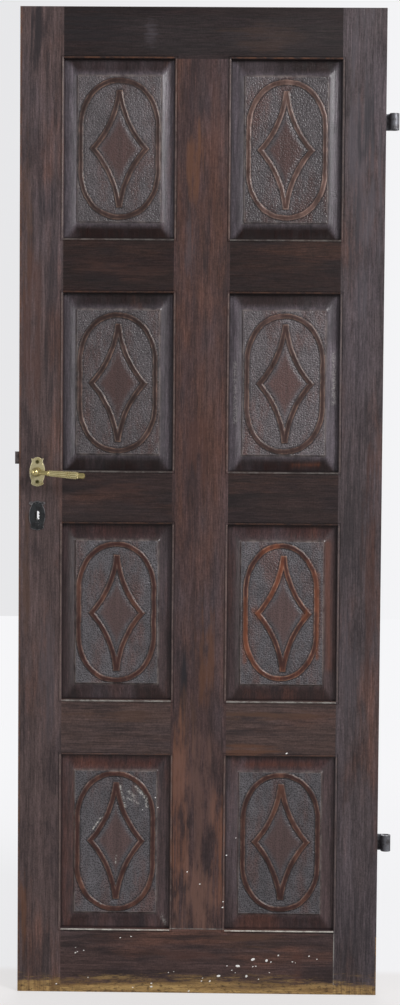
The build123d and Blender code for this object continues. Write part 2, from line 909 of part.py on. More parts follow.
# Back lever: the front lever's twin across the leaf's middle, with a hole for its cross pin
y_pin = y_back + pin_place
with BuildPart() as lever_back:
    add(mirror(lever_front.part, about=Plane(origin=(0, y_lock, 0), z_dir=(0, 1, 0))))
    with Locations((x_lever, y_pin, z_lever)):
        Cylinder(pin_radius + screw_clearance, 2 * lever_collar_radius, mode=Mode.SUBTRACT)
finish(lever_back, "lever_back")

# Square spindle, drilled for the pin
with BuildPart() as spindle:
    spindle_length = leaf_thick + 2 * (spindle_socket - bolt_clearance)
    block(spindle_width, spindle_length, spindle_width, (x_lever, y_lock, z_lever))
    with Locations((x_lever, y_pin, z_lever)):
        Cylinder(pin_radius + screw_clearance, 2 * spindle_width, mode=Mode.SUBTRACT)
finish(spindle, "spindle")

# Cross pin
with BuildPart() as spindle_pin:
    with Locations((x_lever, y_pin, z_lever)):
        Cylinder(pin_radius, 2 * lever_waist_radius)
finish(spindle_pin, "spindle_pin")


def bolt_windows(x, thick):
    """Cut the latch's and the dead bolt's windows through an upright wall at x."""
    for z in (z_latch, z_dead):
        block(
            thick,
            inner_thick,
            bolt_height + 2 * bolt_clearance,
            (x, y_lock, z),
            Mode.SUBTRACT,
        )


# Forend, flush with the leaf's edge
with BuildPart() as forend:
    x_forend = x_lock_edge + forend_thick / 2
    block(forend_thick, forend_width, case_height + 2 * forend_tab, (x_forend, y_lock, z_case))
    bolt_windows(x_forend, forend_thick)
    cut_screws(
        forend_screws_in,
        forend_screw_length,
        forend_screw_head_radius,
        forend_screw_shank_radius,
    )
finish(forend, "forend")

# Lock case: a tray that is open towards the back, with posts for the cover's screws
post_places = [
    (x_case + case_depth - post_inset, z_case_top - post_inset),
    (x_case + case_depth - post_inset, z_case_top - case_height + post_inset),
    (x_case + post_inset, z_case_top - case_height + post_inset),
]
cover_screws_in = [
    Location((x, cover_y + case_wall, z), (-90, 0, 0)) for x, z in post_places
]
tray_thick = case_thick - case_wall
with BuildPart() as lock_case:
    x_case_middle = x_case + case_depth / 2
    y_tray = case_floor_y + tray_thick / 2
    block(case_depth, tray_thick, case_height, (x_case_middle, y_tray, z_case))
    block(
        case_depth - 2 * case_wall,
        inner_thick,
        case_height - 2 * case_wall,
        (x_case_middle, y_lock, z_case),
        Mode.SUBTRACT,
    )
    tray_plane = Plane(origin=(0, case_floor_y, 0), x_dir=(1, 0, 0), z_dir=(0, -1, 0))
    with BuildSketch(tray_plane):
        with Locations(*post_places):
            Circle(post_radius)
    extrude(amount=-tray_thick)
    bolt_windows(x_case + case_wall / 2, case_wall)
    with BuildSketch(tray_plane):
        with Locations((x_lever, z_lever)):
            Circle(hub_journal_radius + running_clearance)
        with Locations((x_lever, z_key)):
            SlotOverall(keyhole_height, keyhole_width, rotation=90)
    extrude(amount=-case_wall, mode=Mode.SUBTRACT)
    cut_screws(cover_screws_in, cover_screw_length, cover_screw_head_radius, cover_screw_radius)
finish(lock_case, "lock_case")

# Cover of the lock case
with BuildPart() as lock_cover:
    block(case_depth, case_wall, case_height, (x_case_middle, cover_y + case_wall / 2, z_case))
    cover_plane = Plane(origin=(0, cover_y, 0), x_dir=(1, 0, 0), z_dir=(0, -1, 0))
    with BuildSketch(cover_plane):
        with Locations((x_lever, z_lever)):
            Circle(hub_journal_radius + running_clearance)
        with Locations((x_lever, z_key)):
            SlotOverall(keyhole_height, keyhole_width, rotation=90)
    extrude(amount=-case_wall, mode=Mode.SUBTRACT)
    cut_screws(cover_screws_in, cover_screw_length, cover_screw_head_radius, cover_screw_radius)
finish(lock_cover, "lock_cover")
finish(
    screw_group(cover_screws_in, cover_screw_length, cover_screw_head_radius, cover_screw_radius),
    "lock_cover_screws",
)

# Follower: a hub on the spindle, borne by the case and its cover, whose arm draws the latch
with BuildPart() as follower:
    hub_thick = inner_thick - 2 * bolt_clearance
    with BuildSketch(Plane(origin=(0, y_lock, 0), x_dir=(1, 0, 0), z_dir=(0, -1, 0))):
        with Locations((x_lever, z_lever)):
            Circle(hub_radius)
        with Locations((x_lever, z_lever + hub_arm_reach / 2)):
            Rectangle(hub_arm_width, hub_arm_reach)
    extrude(amount=hub_thick / 2, both=True)
    with BuildSketch(Plane(origin=(0, y_lock, 0), x_dir=(1, 0, 0), z_dir=(0, -1, 0))):
        with Locations((x_lever, z_lever)):
            Circle(hub_journal_radius)
    extrude(amount=case_thick / 2, both=True)
    socket = spindle_width + 2 * spindle_clearance
    block(socket, case_thick, socket, (x_lever, y_lock, z_lever), Mode.SUBTRACT)
finish(follower, "follower")

# Latch bolt: a bevelled head, a tail bar, and a leg that stands in front of the follower's arm
bolt_thick = inner_thick - 2 * bolt_clearance
with BuildPart() as latch_bolt:
    x_nose = x_lock_edge - latch_throw
    head_length = latch_throw + latch_head_length
    with BuildSketch(Plane.XY.offset(z_latch - bolt_height / 2)):
        with BuildLine():
            Polyline(
                (x_nose, y_lock + bolt_thick / 2),
                (x_nose, y_lock + bolt_thick / 2 - latch_nose),
                (x_nose + latch_bevel, y_lock - bolt_thick / 2),
                (x_nose + head_length, y_lock - bolt_thick / 2),
                (x_nose + head_length, y_lock + bolt_thick / 2),
                close=True,
            )
        make_face()
    extrude(amount=bolt_height)
    tail_length = latch_tail_end - latch_head_length
    block(
        tail_length,
        latch_tail_thick,
        latch_tail_height,
        (x_lock_edge + latch_tail_end - tail_length / 2, y_lock, z_latch),
    )
    x_leg = x_lever + hub_arm_width / 2 + bolt_clearance
    leg_height = latch_rise - latch_leg_rise
    block(
        latch_leg_width,
        latch_tail_thick,
        leg_height,
        (x_leg + latch_leg_width / 2, y_lock, z_latch - leg_height / 2),
    )
finish(latch_bolt, "latch_bolt")

# Latch spring: a bow of flat steel between the tail and the back of the case
x_case_inside = x_case + case_depth - case_wall
with BuildPart() as latch_spring:
    x_crown = x_lock_edge + latch_tail_end + running_clearance
    with BuildSketch(Plane(origin=(0, y_lock, z_latch), x_dir=(1, 0, 0), z_dir=(0, -1, 0))):
        with BuildLine():
            ThreePointArc(
                (x_case_inside, latch_spring_half),
                (x_crown, 0),
                (x_case_inside, -latch_spring_half),
            )
            Line((x_case_inside, -latch_spring_half), (x_case_inside, spring_thick - latch_spring_half))
            ThreePointArc(
                (x_case_inside, spring_thick - latch_spring_half),
                (x_crown + spring_thick, 0),
                (x_case_inside, latch_spring_half - spring_thick),
            )
            Line((x_case_inside, latch_spring_half - spring_thick), (x_case_inside, latch_spring_half))
        make_face()
    extrude(amount=spring_width / 2, both=True)
finish(latch_spring, "latch_spring")

# Dead bolt: drawn back level with the forend, with a talon in its tail for the key
with BuildPart() as dead_bolt:
    head_start = x_lock_edge
    block(
        dead_head_length,
        bolt_thick,
        bolt_height,
        (head_start + dead_head_length / 2, y_lock, z_dead),
    )
    dead_tail_length = dead_tail_end - dead_head_length
    block(
        dead_tail_length,
        dead_tail_thick,
        dead_tail_height,
        (x_lock_edge + dead_head_length + dead_tail_length / 2, y_lock, z_dead),
    )
    block(
        talon_width,
        dead_tail_thick,
        talon_depth,
        (x_lever, y_lock, z_dead - dead_tail_height / 2 + talon_depth / 2),
        Mode.SUBTRACT,
    )
finish(dead_bolt, "dead_bolt")

# Dead bolt's leaf spring, which bears on the tail's upper edge
with BuildPart() as dead_bolt_spring:
    z_leaf = z_dead + dead_tail_height / 2 + bolt_clearance
    x_leaf_start = x_lock_edge + dead_spring_start
    with BuildSketch(Plane(origin=(0, y_lock, 0), x_dir=(1, 0, 0), z_dir=(0, -1, 0))):
        with BuildLine():
            x_bow = (x_leaf_start + x_case_inside) / 2
            z_end = z_leaf + dead_spring_bow
            ThreePointArc((x_leaf_start, z_end), (x_bow, z_leaf), (x_case_inside, z_end))
            Line((x_case_inside, z_end), (x_case_inside, z_end + spring_thick))
            ThreePointArc(
                (x_case_inside, z_end + spring_thick),
                (x_bow, z_leaf + spring_thick),
                (x_leaf_start, z_end + spring_thick),
            )
            Line((x_leaf_start, z_end + spring_thick), (x_leaf_start, z_end))
        make_face()
    extrude(amount=spring_width / 2, both=True)
finish(dead_bolt_spring, "dead_bolt_spring")
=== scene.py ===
"""Dresses the carved door leaf: its wood, carved panels, lever, plates, lock and marks of use."""

import logging
import math
from dataclasses import dataclass
from enum import Enum
from functools import cache

import bmesh
import bpy
import numpy as np
from mathutils import Matrix, Vector


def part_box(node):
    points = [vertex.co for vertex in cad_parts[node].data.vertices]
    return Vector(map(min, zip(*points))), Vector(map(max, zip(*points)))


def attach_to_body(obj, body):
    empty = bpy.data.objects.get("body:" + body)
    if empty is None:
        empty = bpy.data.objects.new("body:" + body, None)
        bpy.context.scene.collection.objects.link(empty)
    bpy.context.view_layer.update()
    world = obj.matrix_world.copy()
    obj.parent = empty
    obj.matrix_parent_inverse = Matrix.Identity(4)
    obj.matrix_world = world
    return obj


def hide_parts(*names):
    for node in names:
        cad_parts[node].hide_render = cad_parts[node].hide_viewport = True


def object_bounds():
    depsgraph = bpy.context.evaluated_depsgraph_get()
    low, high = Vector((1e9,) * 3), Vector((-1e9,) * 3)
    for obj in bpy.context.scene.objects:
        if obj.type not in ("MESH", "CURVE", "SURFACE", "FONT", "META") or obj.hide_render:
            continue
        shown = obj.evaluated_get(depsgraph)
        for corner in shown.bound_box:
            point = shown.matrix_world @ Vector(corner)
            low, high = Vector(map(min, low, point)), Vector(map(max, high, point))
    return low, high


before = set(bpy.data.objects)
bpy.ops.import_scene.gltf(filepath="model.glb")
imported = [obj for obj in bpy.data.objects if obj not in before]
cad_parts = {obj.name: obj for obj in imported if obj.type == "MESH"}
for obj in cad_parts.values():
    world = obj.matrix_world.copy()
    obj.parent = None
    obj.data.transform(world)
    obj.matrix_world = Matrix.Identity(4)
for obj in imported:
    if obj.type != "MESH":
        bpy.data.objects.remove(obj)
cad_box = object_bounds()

log = logging.getLogger("door")

MILLIMETRE = 0.001
SIDES = ("left", "right")
FACES = ("front", "back")
Pair = tuple[float, float]
Triple = tuple[float, float, float]
Colour = Triple
Object = bpy.types.Object
Material = bpy.types.Material
Socket = bpy.types.NodeSocket
LEAF_LOW, LEAF_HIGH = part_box("lock_stile")[0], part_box("hinge_stile")[1]


def on_leaf(across: float, down: float) -> Pair:
    """Turn a place on the leaf's front into coordinates.

    Args:
        across: Millimetres right of the leaf's left edge.
        down: Millimetres below its top edge.

    Returns:
        Its x and z in metres.
    """
    return LEAF_LOW.x + across * MILLIMETRE, LEAF_HIGH.z - down * MILLIMETRE


def tone(*levels: int) -> Colour:
    """Turn red, green and blue as seen on a screen, 0 to 255, into a linear colour, 0 to 1."""
    shares = (level / 255 for level in levels)
    return tuple(c / 12.92 if c <= 0.04045 else ((c + 0.055) / 1.055) ** 2.4 for c in shares)


class Grain(Enum):
    """Which way the grain of a piece of wood runs."""

    UPRIGHT = "upright"
    LEVEL = "level"


@dataclass(frozen=True)
class Weave:
    """A noise: its scales across and along the grain, detail, roughness and shift of seed."""

    across: float
    along: float
    detail: float = 3.0
    rough: float = 0.5
    shift: float = 0.0


CLOUDS = Weave(7.0, 1.8, 4.0, 0.6)
BLOTS = Weave(26.0, 8.0, 5.0, 0.66, 1.9)
STREAKS = Weave(115.0, 4.6, 5.0, 0.66)
FIBRES = Weave(420.0, 22.0, 3.0, 0.6)
PORES = Weave(1300.0, 60.0, 2.0, 0.6)
RUBBING = Weave(15.0, 3.0, 5.0, 0.64, 3.1)
PLANING = Weave(24.0, 1.6)
GRIT = Weave(300.0, 240.0, 4.0, 0.75)
TEAR = Weave(60.0, 60.0, 4.0, 0.7)
PANEL_TEAR = Weave(55.0, 42.0, 5.0, 0.7)
CHIPS = Weave(330.0, 330.0, 3.0, 0.7)
FOOT_LINE = Weave(7.0, 60.0, 6.0, 0.66, 5.0)
FOOT_SPLINTERS = Weave(60.0, 420.0, 4.0, 0.7, 2.0)
FOOT_GRIME = Weave(90.0, 200.0, 5.0, 0.75)
METAL_CLOUDS = Weave(70.0, 70.0, 5.0, 0.65)
METAL_GRIT = Weave(900.0, 900.0, 3.0, 0.6)


class Tree:
    """A node tree, with short calls that add its nodes and join them."""

    def __init__(self, tree: bpy.types.NodeTree) -> None:
        """Work on that tree."""
        self.tree = tree

    def node(self, kind: str, inputs: dict | None = None, **settings: object) -> bpy.types.Node:
        """Add a node.

        Args:
            kind: Its type.
            inputs: What goes into its inputs, by name or number.
            settings: Its options.

        Returns:
            The node.
        """
        made = self.tree.nodes.new(kind)
        for key, value in settings.items():
            setattr(made, key, value)
        for key, value in (inputs or {}).items():
            self.feed(made.inputs[key], value)
        return made

    def feed(self, socket: Socket, value: object) -> None:
        """Join a socket to another, or set its value where it is a plain one."""
        if isinstance(value, bpy.types.NodeSocket):
            self.tree.links.new(value, socket)
        elif isinstance(value, tuple) and len(value) == 3 and socket.type == "RGBA":
            socket.default_value = (*value, 1.0)
        else:
            socket.default_value = value

    def maths(self, operation: str, *values: object) -> Socket:
        """One step of arithmetic."""
        return self.node("ShaderNodeMath", dict(enumerate(values)), operation=operation).outputs[0]

    def span(
        self, value: Socket, low: float, high: float, start: float = 0.0, end: float = 1.0,
        how: str = "SMOOTHSTEP",
    ) -> Socket:
        """Spread a range of a value over another range.

        Args:
            value: The value to read.
            low: Where the range starts.
            high: Where it ends.
            start: What it gives at its start.
            end: What it gives at its end.
            how: How it runs from one to the other.

        Returns:
            The new value.
        """
        limits = {"From Min": low, "From Max": high, "To Min": start, "To Max": end}
        made = self.node("ShaderNodeMapRange", {**limits, "Value": value}, interpolation_type=how)
        return made.outputs["Result"]

    def triple(self, x: object = 0.0, y: object = 0.0, z: object = 0.0) -> Socket:
        """A vector out of three numbers."""
        return self.node("ShaderNodeCombineXYZ", {0: x, 1: y, 2: z}).outputs[0]

    def part(self, vector: Socket, name: str) -> Socket:
        """A vector's X, Y or Z."""
        return self.node("ShaderNodeSeparateXYZ", {0: vector}).outputs[name]

    def pits(self, place: Socket, scale: object, scatter: object) -> Socket:
        """How far each place lies from the nearest punch mark, in pitches."""
        flat = self.triple(self.part(place, "X"), self.part(place, "Z"))
        inputs = {"Vector": flat, "Scale": scale, "Randomness": scatter}
        made = self.node("ShaderNodeTexVoronoi", inputs, voronoi_dimensions="2D")
        return made.outputs["Distance"]


class Board(Tree):
    """A material's node tree, with short calls for the nodes that the finishes share."""

    def __init__(self, name: str) -> None:
        """Start a material of that name with its Principled shader."""
        self.material = bpy.data.materials.new(name)
        self.material.use_nodes = True
        super().__init__(self.material.node_tree)
        self.shader = self.tree.nodes["Principled BSDF"]
        self.place = self.node("ShaderNodeTexCoord").outputs["Object"]

    def axis(self, name: str) -> Socket:
        """One of the object's own coordinates, X, Y or Z."""
        return self.part(self.place, name)

    def gap(self, operation: str, *place: Triple) -> Socket:
        """How far each spot lies from the origin or from a place."""
        inputs = dict(enumerate((self.place, *place)))
        return self.node("ShaderNodeVectorMath", inputs, operation=operation).outputs["Value"]

    def noise(self, weave: Weave, seed: float = 0.0, grain: Grain = Grain.UPRIGHT) -> Socket:
        """Fractal noise in the object's own coordinates, 0 to 1."""
        scales = (weave.across, weave.across, weave.along)
        shift = seed + weave.shift
        mapped = self.node("ShaderNodeMapping", {
            "Vector": self.place,
            "Scale": scales if grain is Grain.UPRIGHT else scales[::-1],
            "Location": (shift, 1.7 * shift, 2.3 * shift),
        })
        inputs = {"Scale": 1.0, "Detail": weave.detail, "Roughness": weave.rough}
        inputs["Vector"] = mapped.outputs["Vector"]
        return self.node("ShaderNodeTexNoise", inputs).outputs["Fac"]

    def blend(self, share: object, first: object, second: object, how: str = "MIX") -> Socket:
        """Mix two colours."""
        inputs = {0: share, 6: first, 7: second}
        return self.node("ShaderNodeMix", inputs, data_type="RGBA", blend_type=how).outputs[2]

    def shade(self, colour: object, amount: object) -> Socket:
        """Multiply a colour by a grey value."""
        grey = self.node("ShaderNodeCombineColor", dict.fromkeys((0, 1, 2), amount))
        return self.blend(1.0, colour, grey.outputs[0], "MULTIPLY")

    def graded(self, colour: object, value: Socket, *spread: float) -> Socket:
        """Shade a colour by a value, spread from one range to another."""
        return self.shade(colour, self.span(value, *spread))

    def laid(self, base: object, over: object, value: Socket, *spread: float) -> Socket:
        """Lay one colour over another by a value, spread from one range to another."""
        return self.blend(self.span(value, *spread), base, over)

    def within(self, value: Socket, stretches: tuple[Pair, ...]) -> Socket:
        """1 where a value lies in one of several stretches, and 0 elsewhere."""
        total = None
        for low, high in stretches:
            inside = self.maths("COMPARE", value, (low + high) / 2, (high - low) / 2)
            total = self.maths("ADD", total, inside) if total else inside
        return total

    def layer(self, name: str) -> Socket:
        """A value that the mesh carries at its points."""
        return self.node("ShaderNodeAttribute", attribute_name=name).outputs["Fac"]

    def bumps(self, *heights: tuple[Socket, float, float]) -> Socket:
        """Bend the normal by heights laid over each other, each with its metres and strength."""
        normal = None
        for height, distance, strength in heights:
            inputs = {"Height": height, "Distance": distance, "Strength": strength}
            if normal:
                inputs["Normal"] = normal
            normal = self.node("ShaderNodeBump", inputs).outputs["Normal"]
        return normal

    def coat(self, inputs: dict[str, object]) -> Material:
        """Feed the shader's inputs, and give the material."""
        for name, value in inputs.items():
            self.feed(self.shader.inputs[name], value)
        return self.material


@dataclass(frozen=True)
class Patch:
    """A soft-edged mark on the leaf, in millimetres right of its left edge and below its top."""

    across: float
    down: float
    half_width: float
    half_height: float
    colour: Colour
    strength: float
    raggedness = (0.66, 1.34, -1.8, 1.8)
    fade = (1.6, -0.6)

    def paint(self, board: Board, base: Socket, torn: Socket) -> Socket:
        """Lay the mark over a colour.

        Args:
            board: The material's board.
            base: The colour below.
            torn: Two noises added, which break the mark up along the grain.

        Returns:
            The colour with the mark.
        """
        x, z = on_leaf(self.across, self.down)
        reaches = []
        for name, place, half in (("X", x, self.half_width), ("Z", z, self.half_height)):
            gap = board.maths("SUBTRACT", board.axis(name), place)
            gap = board.maths("DIVIDE", gap, half * MILLIMETRE)
            reaches.append(board.maths("MULTIPLY", gap, gap))
        ragged = board.span(torn, *self.raggedness)
        reach = board.maths("ADD", board.maths("ADD", *reaches), ragged)
        return board.laid(base, self.colour, reach, *self.fade, 0.0, self.strength)


@dataclass(frozen=True)
class Arris:
    """A line along a piece at one coordinate, in metres: a rubbed or dirty edge, or on a bead a
    pale line that is partly wear and partly painted highlight.
    """

    axis: str
    place: float
    reach: float
    colour: Colour
    strength: float
    stretches: tuple[Pair, ...] = ()
    even: float = 0.15
    core = 0.35
    breaks = (0.38, 0.62)

    def paint(self, board: Board, base: Socket, tear: Socket) -> Socket:
        """Lay the worn edge over a colour, stronger in some stretches than in others."""
        gap = board.maths("ABSOLUTE", board.maths("SUBTRACT", board.axis(self.axis), self.place))
        line = board.span(gap, self.reach, self.core * self.reach)
        worn = board.span(tear, *self.breaks, self.even, self.strength)
        share = board.maths("MULTIPLY", line, worn)
        if self.stretches:
            along = board.axis("Z" if self.axis == "X" else "X")
            share = board.maths("MULTIPLY", share, board.within(along, self.stretches))
        return board.blend(share, base, self.colour)


@dataclass
class Figure:
    """What the grain of a board looks like, from its broadest clouds to its pores."""

    clouds: Socket
    blots: Socket
    streaks: Socket
    fibres: Socket
    pores: Socket


@dataclass(frozen=True, kw_only=True)
class StainedWood:
    """Old dark-stained wood, rubbed through to red-brown in patches and clouded blue-grey in
    others, the clouding partly painted sheen.
    """

    name: str
    seed: float
    stain: Colour
    depth: float
    grain: Grain = Grain.UPRIGHT
    rubbed: Colour = tone(118, 80, 66)
    # blue-grey clouding colour: partly a cloudy finish, partly painted sheen
    bloom_and_sheen: Colour = tone(98, 88, 94)
    rubbed_share: float = 0.4
    bloom_and_sheen_share: float = 0.4
    arrises: tuple[Arris, ...] = ()
    patches: tuple[Patch, ...] = ()
    foot_z: float | None = None
    deep = tone(44, 38, 42)
    deep_edge = (0.46, 0.66, 0.0, 0.5)
    rubbed_edge = (0.66, 0.26, -0.05, 0.15)
    bloom_and_sheen_edge = (0.64, 0.26, -0.05, 0.19)
    stain_strength = 0.55
    streak_shade = (0.25, 0.75, 0.68, 1.32)
    fibre_shade = (0.28, 0.72, 0.72, 1.28)
    pore_shade = (0.3, 0.6, 0.72, 1.12)
    grit_shade = (0.3, 0.7, 0.76, 1.24)
    gloss = (0.25, 0.75, 0.46, 0.32)
    specular = 0.34
    raw_top = (-0.0012, -0.0004)
    raw_gloss = 0.95
    foot_sway = (0.25, 0.75, -0.012, 0.012)
    foot_fray = (0.3, 0.7, -0.007, 0.007)
    foot_edge = (0.036, 0.014, 0.0, 0.95)
    foot_shade = (0.3, 0.7, 0.6, 1.1)
    foot_dirt = (0.5, 0.66, 0.0, 0.8)
    foot_pale, foot_ochre, foot_dark = tone(190, 155, 100), tone(136, 105, 68), tone(54, 40, 32)

    def figure(self, board: Board) -> Figure:
        """The board's own grain."""
        weaves = (CLOUDS, BLOTS, STREAKS, FIBRES, PORES)
        return Figure(*(board.noise(weave, self.seed, self.grain) for weave in weaves))

    def ground_colour(self, board: Board, figure: Figure, stain: object) -> Socket:
        """The stained colour with its clouding, which is partly painted sheen, and its blots,
        streaks and pores.
        """
        colour = board.laid(stain, self.deep, figure.blots, *self.deep_edge)
        rubbing = board.noise(RUBBING, self.seed, self.grain)
        for value, over, share, (none, most, low, high) in (
            (rubbing, self.rubbed, self.rubbed_share, self.rubbed_edge),
            (figure.clouds, self.bloom_and_sheen, self.bloom_and_sheen_share, self.bloom_and_sheen_edge),
        ):
            edge = none - most * share
            spread = (edge + low, edge + high, 0.0, self.stain_strength)
            colour = board.laid(colour, over, value, *spread)
        for value, spread in (
            (figure.streaks, self.streak_shade), (figure.fibres, self.fibre_shade),
            (figure.pores, self.pore_shade), (board.noise(GRIT, self.seed), self.grit_shade),
        ):
            colour = board.graded(colour, value, *spread)
        return colour

    def make(self) -> Material:
        """Build the material."""
        board = Board(self.name)
        figure = self.figure(board)
        colour = board.shade(self.ground_colour(board, figure, self.stain), self.depth)
        torn = board.maths("ADD", figure.streaks, figure.blots)
        for patch in self.patches:
            colour = patch.paint(board, colour, torn)
        tear = board.noise(TEAR, self.seed)
        # the worn edges, whose pale bead lines are partly painted highlight
        for arris_wear_and_highlight in self.arrises:
            colour = arris_wear_and_highlight.paint(board, colour, tear)
        if self.foot_z is not None:
            colour = self.wear_foot(board, colour, figure)
        top = (LEAF_HIGH.z + below for below in self.raw_top)
        raw = board.span(board.axis("Z"), *top, 0.0, self.raw_gloss)
        gloss = board.span(figure.streaks, *self.gloss)
        return board.coat({
            "Base Color": colour,
            "Roughness": board.maths("MAXIMUM", gloss, raw),
            "Specular IOR Level": self.specular,
            "Normal": board.bumps(*self.relief(board, figure)),
        })

    def relief(self, board: Board, figure: Figure) -> tuple[tuple[Socket, float, float], ...]:
        """The hand-planed surface: slow waves, raised streaks, fibres and open pores."""
        waves = board.noise(PLANING, self.seed, self.grain)
        return (
            (waves, 0.0020, 0.35), (figure.streaks, 0.0010, 0.55),
            (figure.fibres, 0.0003, 0.6), (figure.pores, 0.00015, 0.7),
        )

    def wear_foot(self, board: Board, colour: Socket, figure: Figure) -> Socket:
        """Bare ochre wood with dark dirt along the bottom edge."""
        height = board.maths("SUBTRACT", board.axis("Z"), self.foot_z)
        splinters = board.noise(FOOT_SPLINTERS, self.seed)
        sway = board.span(board.noise(FOOT_LINE, self.seed), *self.foot_sway)
        line = board.maths("ADD", height, sway)
        line = board.maths("ADD", line, board.span(splinters, *self.foot_fray))
        bare = board.laid(self.foot_pale, self.foot_ochre, figure.streaks, 0.35, 0.65)
        bare = board.graded(bare, splinters, *self.foot_shade)
        grime_and_shade = board.noise(FOOT_GRIME, self.seed)
        bare = board.laid(bare, self.foot_dark, grime_and_shade, *self.foot_dirt)
        return board.laid(colour, bare, line, *self.foot_edge)


PUNCH_PITCH = 4.2 * MILLIMETRE
PUNCH_SCATTER = 0.85
PUNCH_MARK = (0.05, 0.5)


@dataclass(frozen=True, kw_only=True)
class CarvedWood(StainedWood):
    """A panel's wood: red-brown bands on a grey punched ground, with worn arrises and scuffs,
    painted highlights on its edges, painted sheen and shade on its coves and painted shade in its
    cuts.
    """

    # head and foot: the top and bottom coves' darker tones, partly end grain, partly painted shade
    head: Colour
    foot: Colour
    ground: Colour
    band: Colour
    pillow: Colour
    field_depth: float
    worn_band: Colour = tone(104, 68, 56)
    # pale tone on the band crests: partly wear, partly painted highlight
    worn_and_lit_rim: Colour = tone(140, 112, 98)
    # pale line along the field's edge: partly wear, partly painted highlight
    pale = tone(134, 124, 120)
    rub = tone(110, 62, 40)
    chalk = tone(206, 202, 196)
    # dark tone for the cuts round the bands, the field's foot and the margins' outer edge: partly
    # grime, partly painted shade
    grime_and_shade = tone(24, 18, 20)
    ground_clouds = (0.3, 0.7, 0.6, 0.84)
    ground_tear = (0.3, 0.7, 0.8, 1.2)
    pillow_streaks = (0.25, 0.75, 0.55, 0.85)
    punch_shade = (0.10, 0.42, 0.42, 1.16)
    band_tear = (0.25, 0.75, 0.5, 0.95)
    rim_wear_and_highlight = (0.4, 0.66, 0.1, 0.75)
    arris_highlight_and_wear = (0.38, 0.62, 0.1, 0.7)
    rub_wear = (0.35, 0.6, 0.35, 1.0)
    scuff_wear = (0.47, 0.56, 0.05, 0.9)
    panel_gloss = (0.25, 0.75, 0.4, 0.26)
    panel_specular = 0.42
    punch_bump = (0.0006, 0.5)

    def make(self) -> Material:
        """Build the material from the values that the carved mesh carries."""
        board = Board(self.name)
        figure = self.figure(board)
        tear = board.noise(PANEL_TEAR, self.seed)
        pits = board.pits(board.place, 1 / PUNCH_PITCH, PUNCH_SCATTER)
        # top and bottom coves darker than the sides: partly end grain, partly painted shade
        stain = board.blend(board.layer("head"), self.stain, self.head)
        stain = board.blend(board.layer("foot"), stain, self.foot)
        margin = board.shade(self.ground_colour(board, figure, stain), self.depth)
        ground = board.laid(self.ground, self.pillow, figure.blots, 0.45, 0.7)
        ground = board.graded(ground, figure.clouds, *self.ground_clouds)
        ground = board.graded(ground, tear, *self.ground_tear)
        pillow = board.graded(self.pillow, figure.streaks, *self.pillow_streaks)
        colour = board.blend(board.layer("pillow"), ground, pillow)
        dotted = board.graded(colour, pits, *self.punch_shade)
        colour = board.blend(board.layer("ground"), colour, dotted)
        colour = board.blend(board.layer("field"), margin, board.shade(colour, self.field_depth))
        band = board.laid(self.band, self.worn_band, figure.blots, 0.47, 0.68)
        band = board.graded(band, tear, *self.band_tear)
        colour = board.blend(board.layer("band"), colour, board.shade(band, self.field_depth))
        # painted shade, partly grime, in the cuts, at the field's foot and along the margin's outer
        # edge
        colour = board.blend(board.layer("painted_shade"), colour, self.grime_and_shade)
        for layer, value, spread, over in (
            ("rim", tear, self.rim_wear_and_highlight, self.worn_and_lit_rim),
            ("arris_wear_and_highlight", tear, self.arris_highlight_and_wear, self.pale),
            ("rub", figure.streaks, self.rub_wear, self.rub),
            ("scuff", board.noise(CHIPS, self.seed), self.scuff_wear, self.chalk),
        ):
            share = board.maths("MULTIPLY", board.layer(layer), board.span(value, *spread))
            colour = board.blend(share, colour, over)
        punched = board.maths("MULTIPLY", board.span(pits, *PUNCH_MARK), board.layer("ground"))
        relief = board.bumps(*self.relief(board, figure), (punched, *self.punch_bump))
        return board.coat({
            "Base Color": colour,
            "Roughness": board.span(figure.streaks, *self.panel_gloss),
            "Specular IOR Level": self.panel_specular,
            "Normal": relief,
        })


@dataclass(frozen=True)
class AgedMetal:
    """Cast or turned metal that has dulled, and is bright where hands rub it."""

    name: str
    bright: Colour
    dull: Colour
    dull_share: float
    smooth: float
    rough: float
    pitting: float
    metallic: float
    hollows: tuple[Triple, ...] = ()
    dulling = (0.68, 0.3, 0.12)
    grit_shade = (0.3, 0.7, 0.8, 1.12)
    hollow_spread = (0.006, 0.0021, 0.0, 0.85)
    verdigris = tone(78, 74, 38)

    def make(self) -> Material:
        """Build the material, darkened round its hollows."""
        board = Board(self.name)
        clouds, grit = board.noise(METAL_CLOUDS), board.noise(METAL_GRIT)
        none, most, soft = self.dulling
        edge = none - most * self.dull_share
        dulled = board.span(clouds, edge - soft, edge + soft)
        colour = board.blend(dulled, self.bright, self.dull)
        colour = board.graded(colour, grit, *self.grit_shade)
        for place in self.hollows:
            gap = board.gap("DISTANCE", place)
            colour = board.laid(colour, self.verdigris, gap, *self.hollow_spread)
        return board.coat({
            "Base Color": colour,
            "Roughness": board.span(dulled, 0.0, 1.0, self.smooth, self.rough),
            "Metallic": self.metallic,
            "Normal": board.bumps((clouds, 0.0008, 0.3), (grit, self.pitting, 0.6)),
        })


def dress(material: Material, *nodes: str) -> None:
    """Give nodes of the frame their finish, without touching their meshes."""
    for node in nodes:
        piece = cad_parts[node]
        if not piece.material_slots:
            piece.data.materials.append(material)
        for slot in piece.material_slots:
            slot.material = material
        log.info("dressed %s in %s", node, material.name)


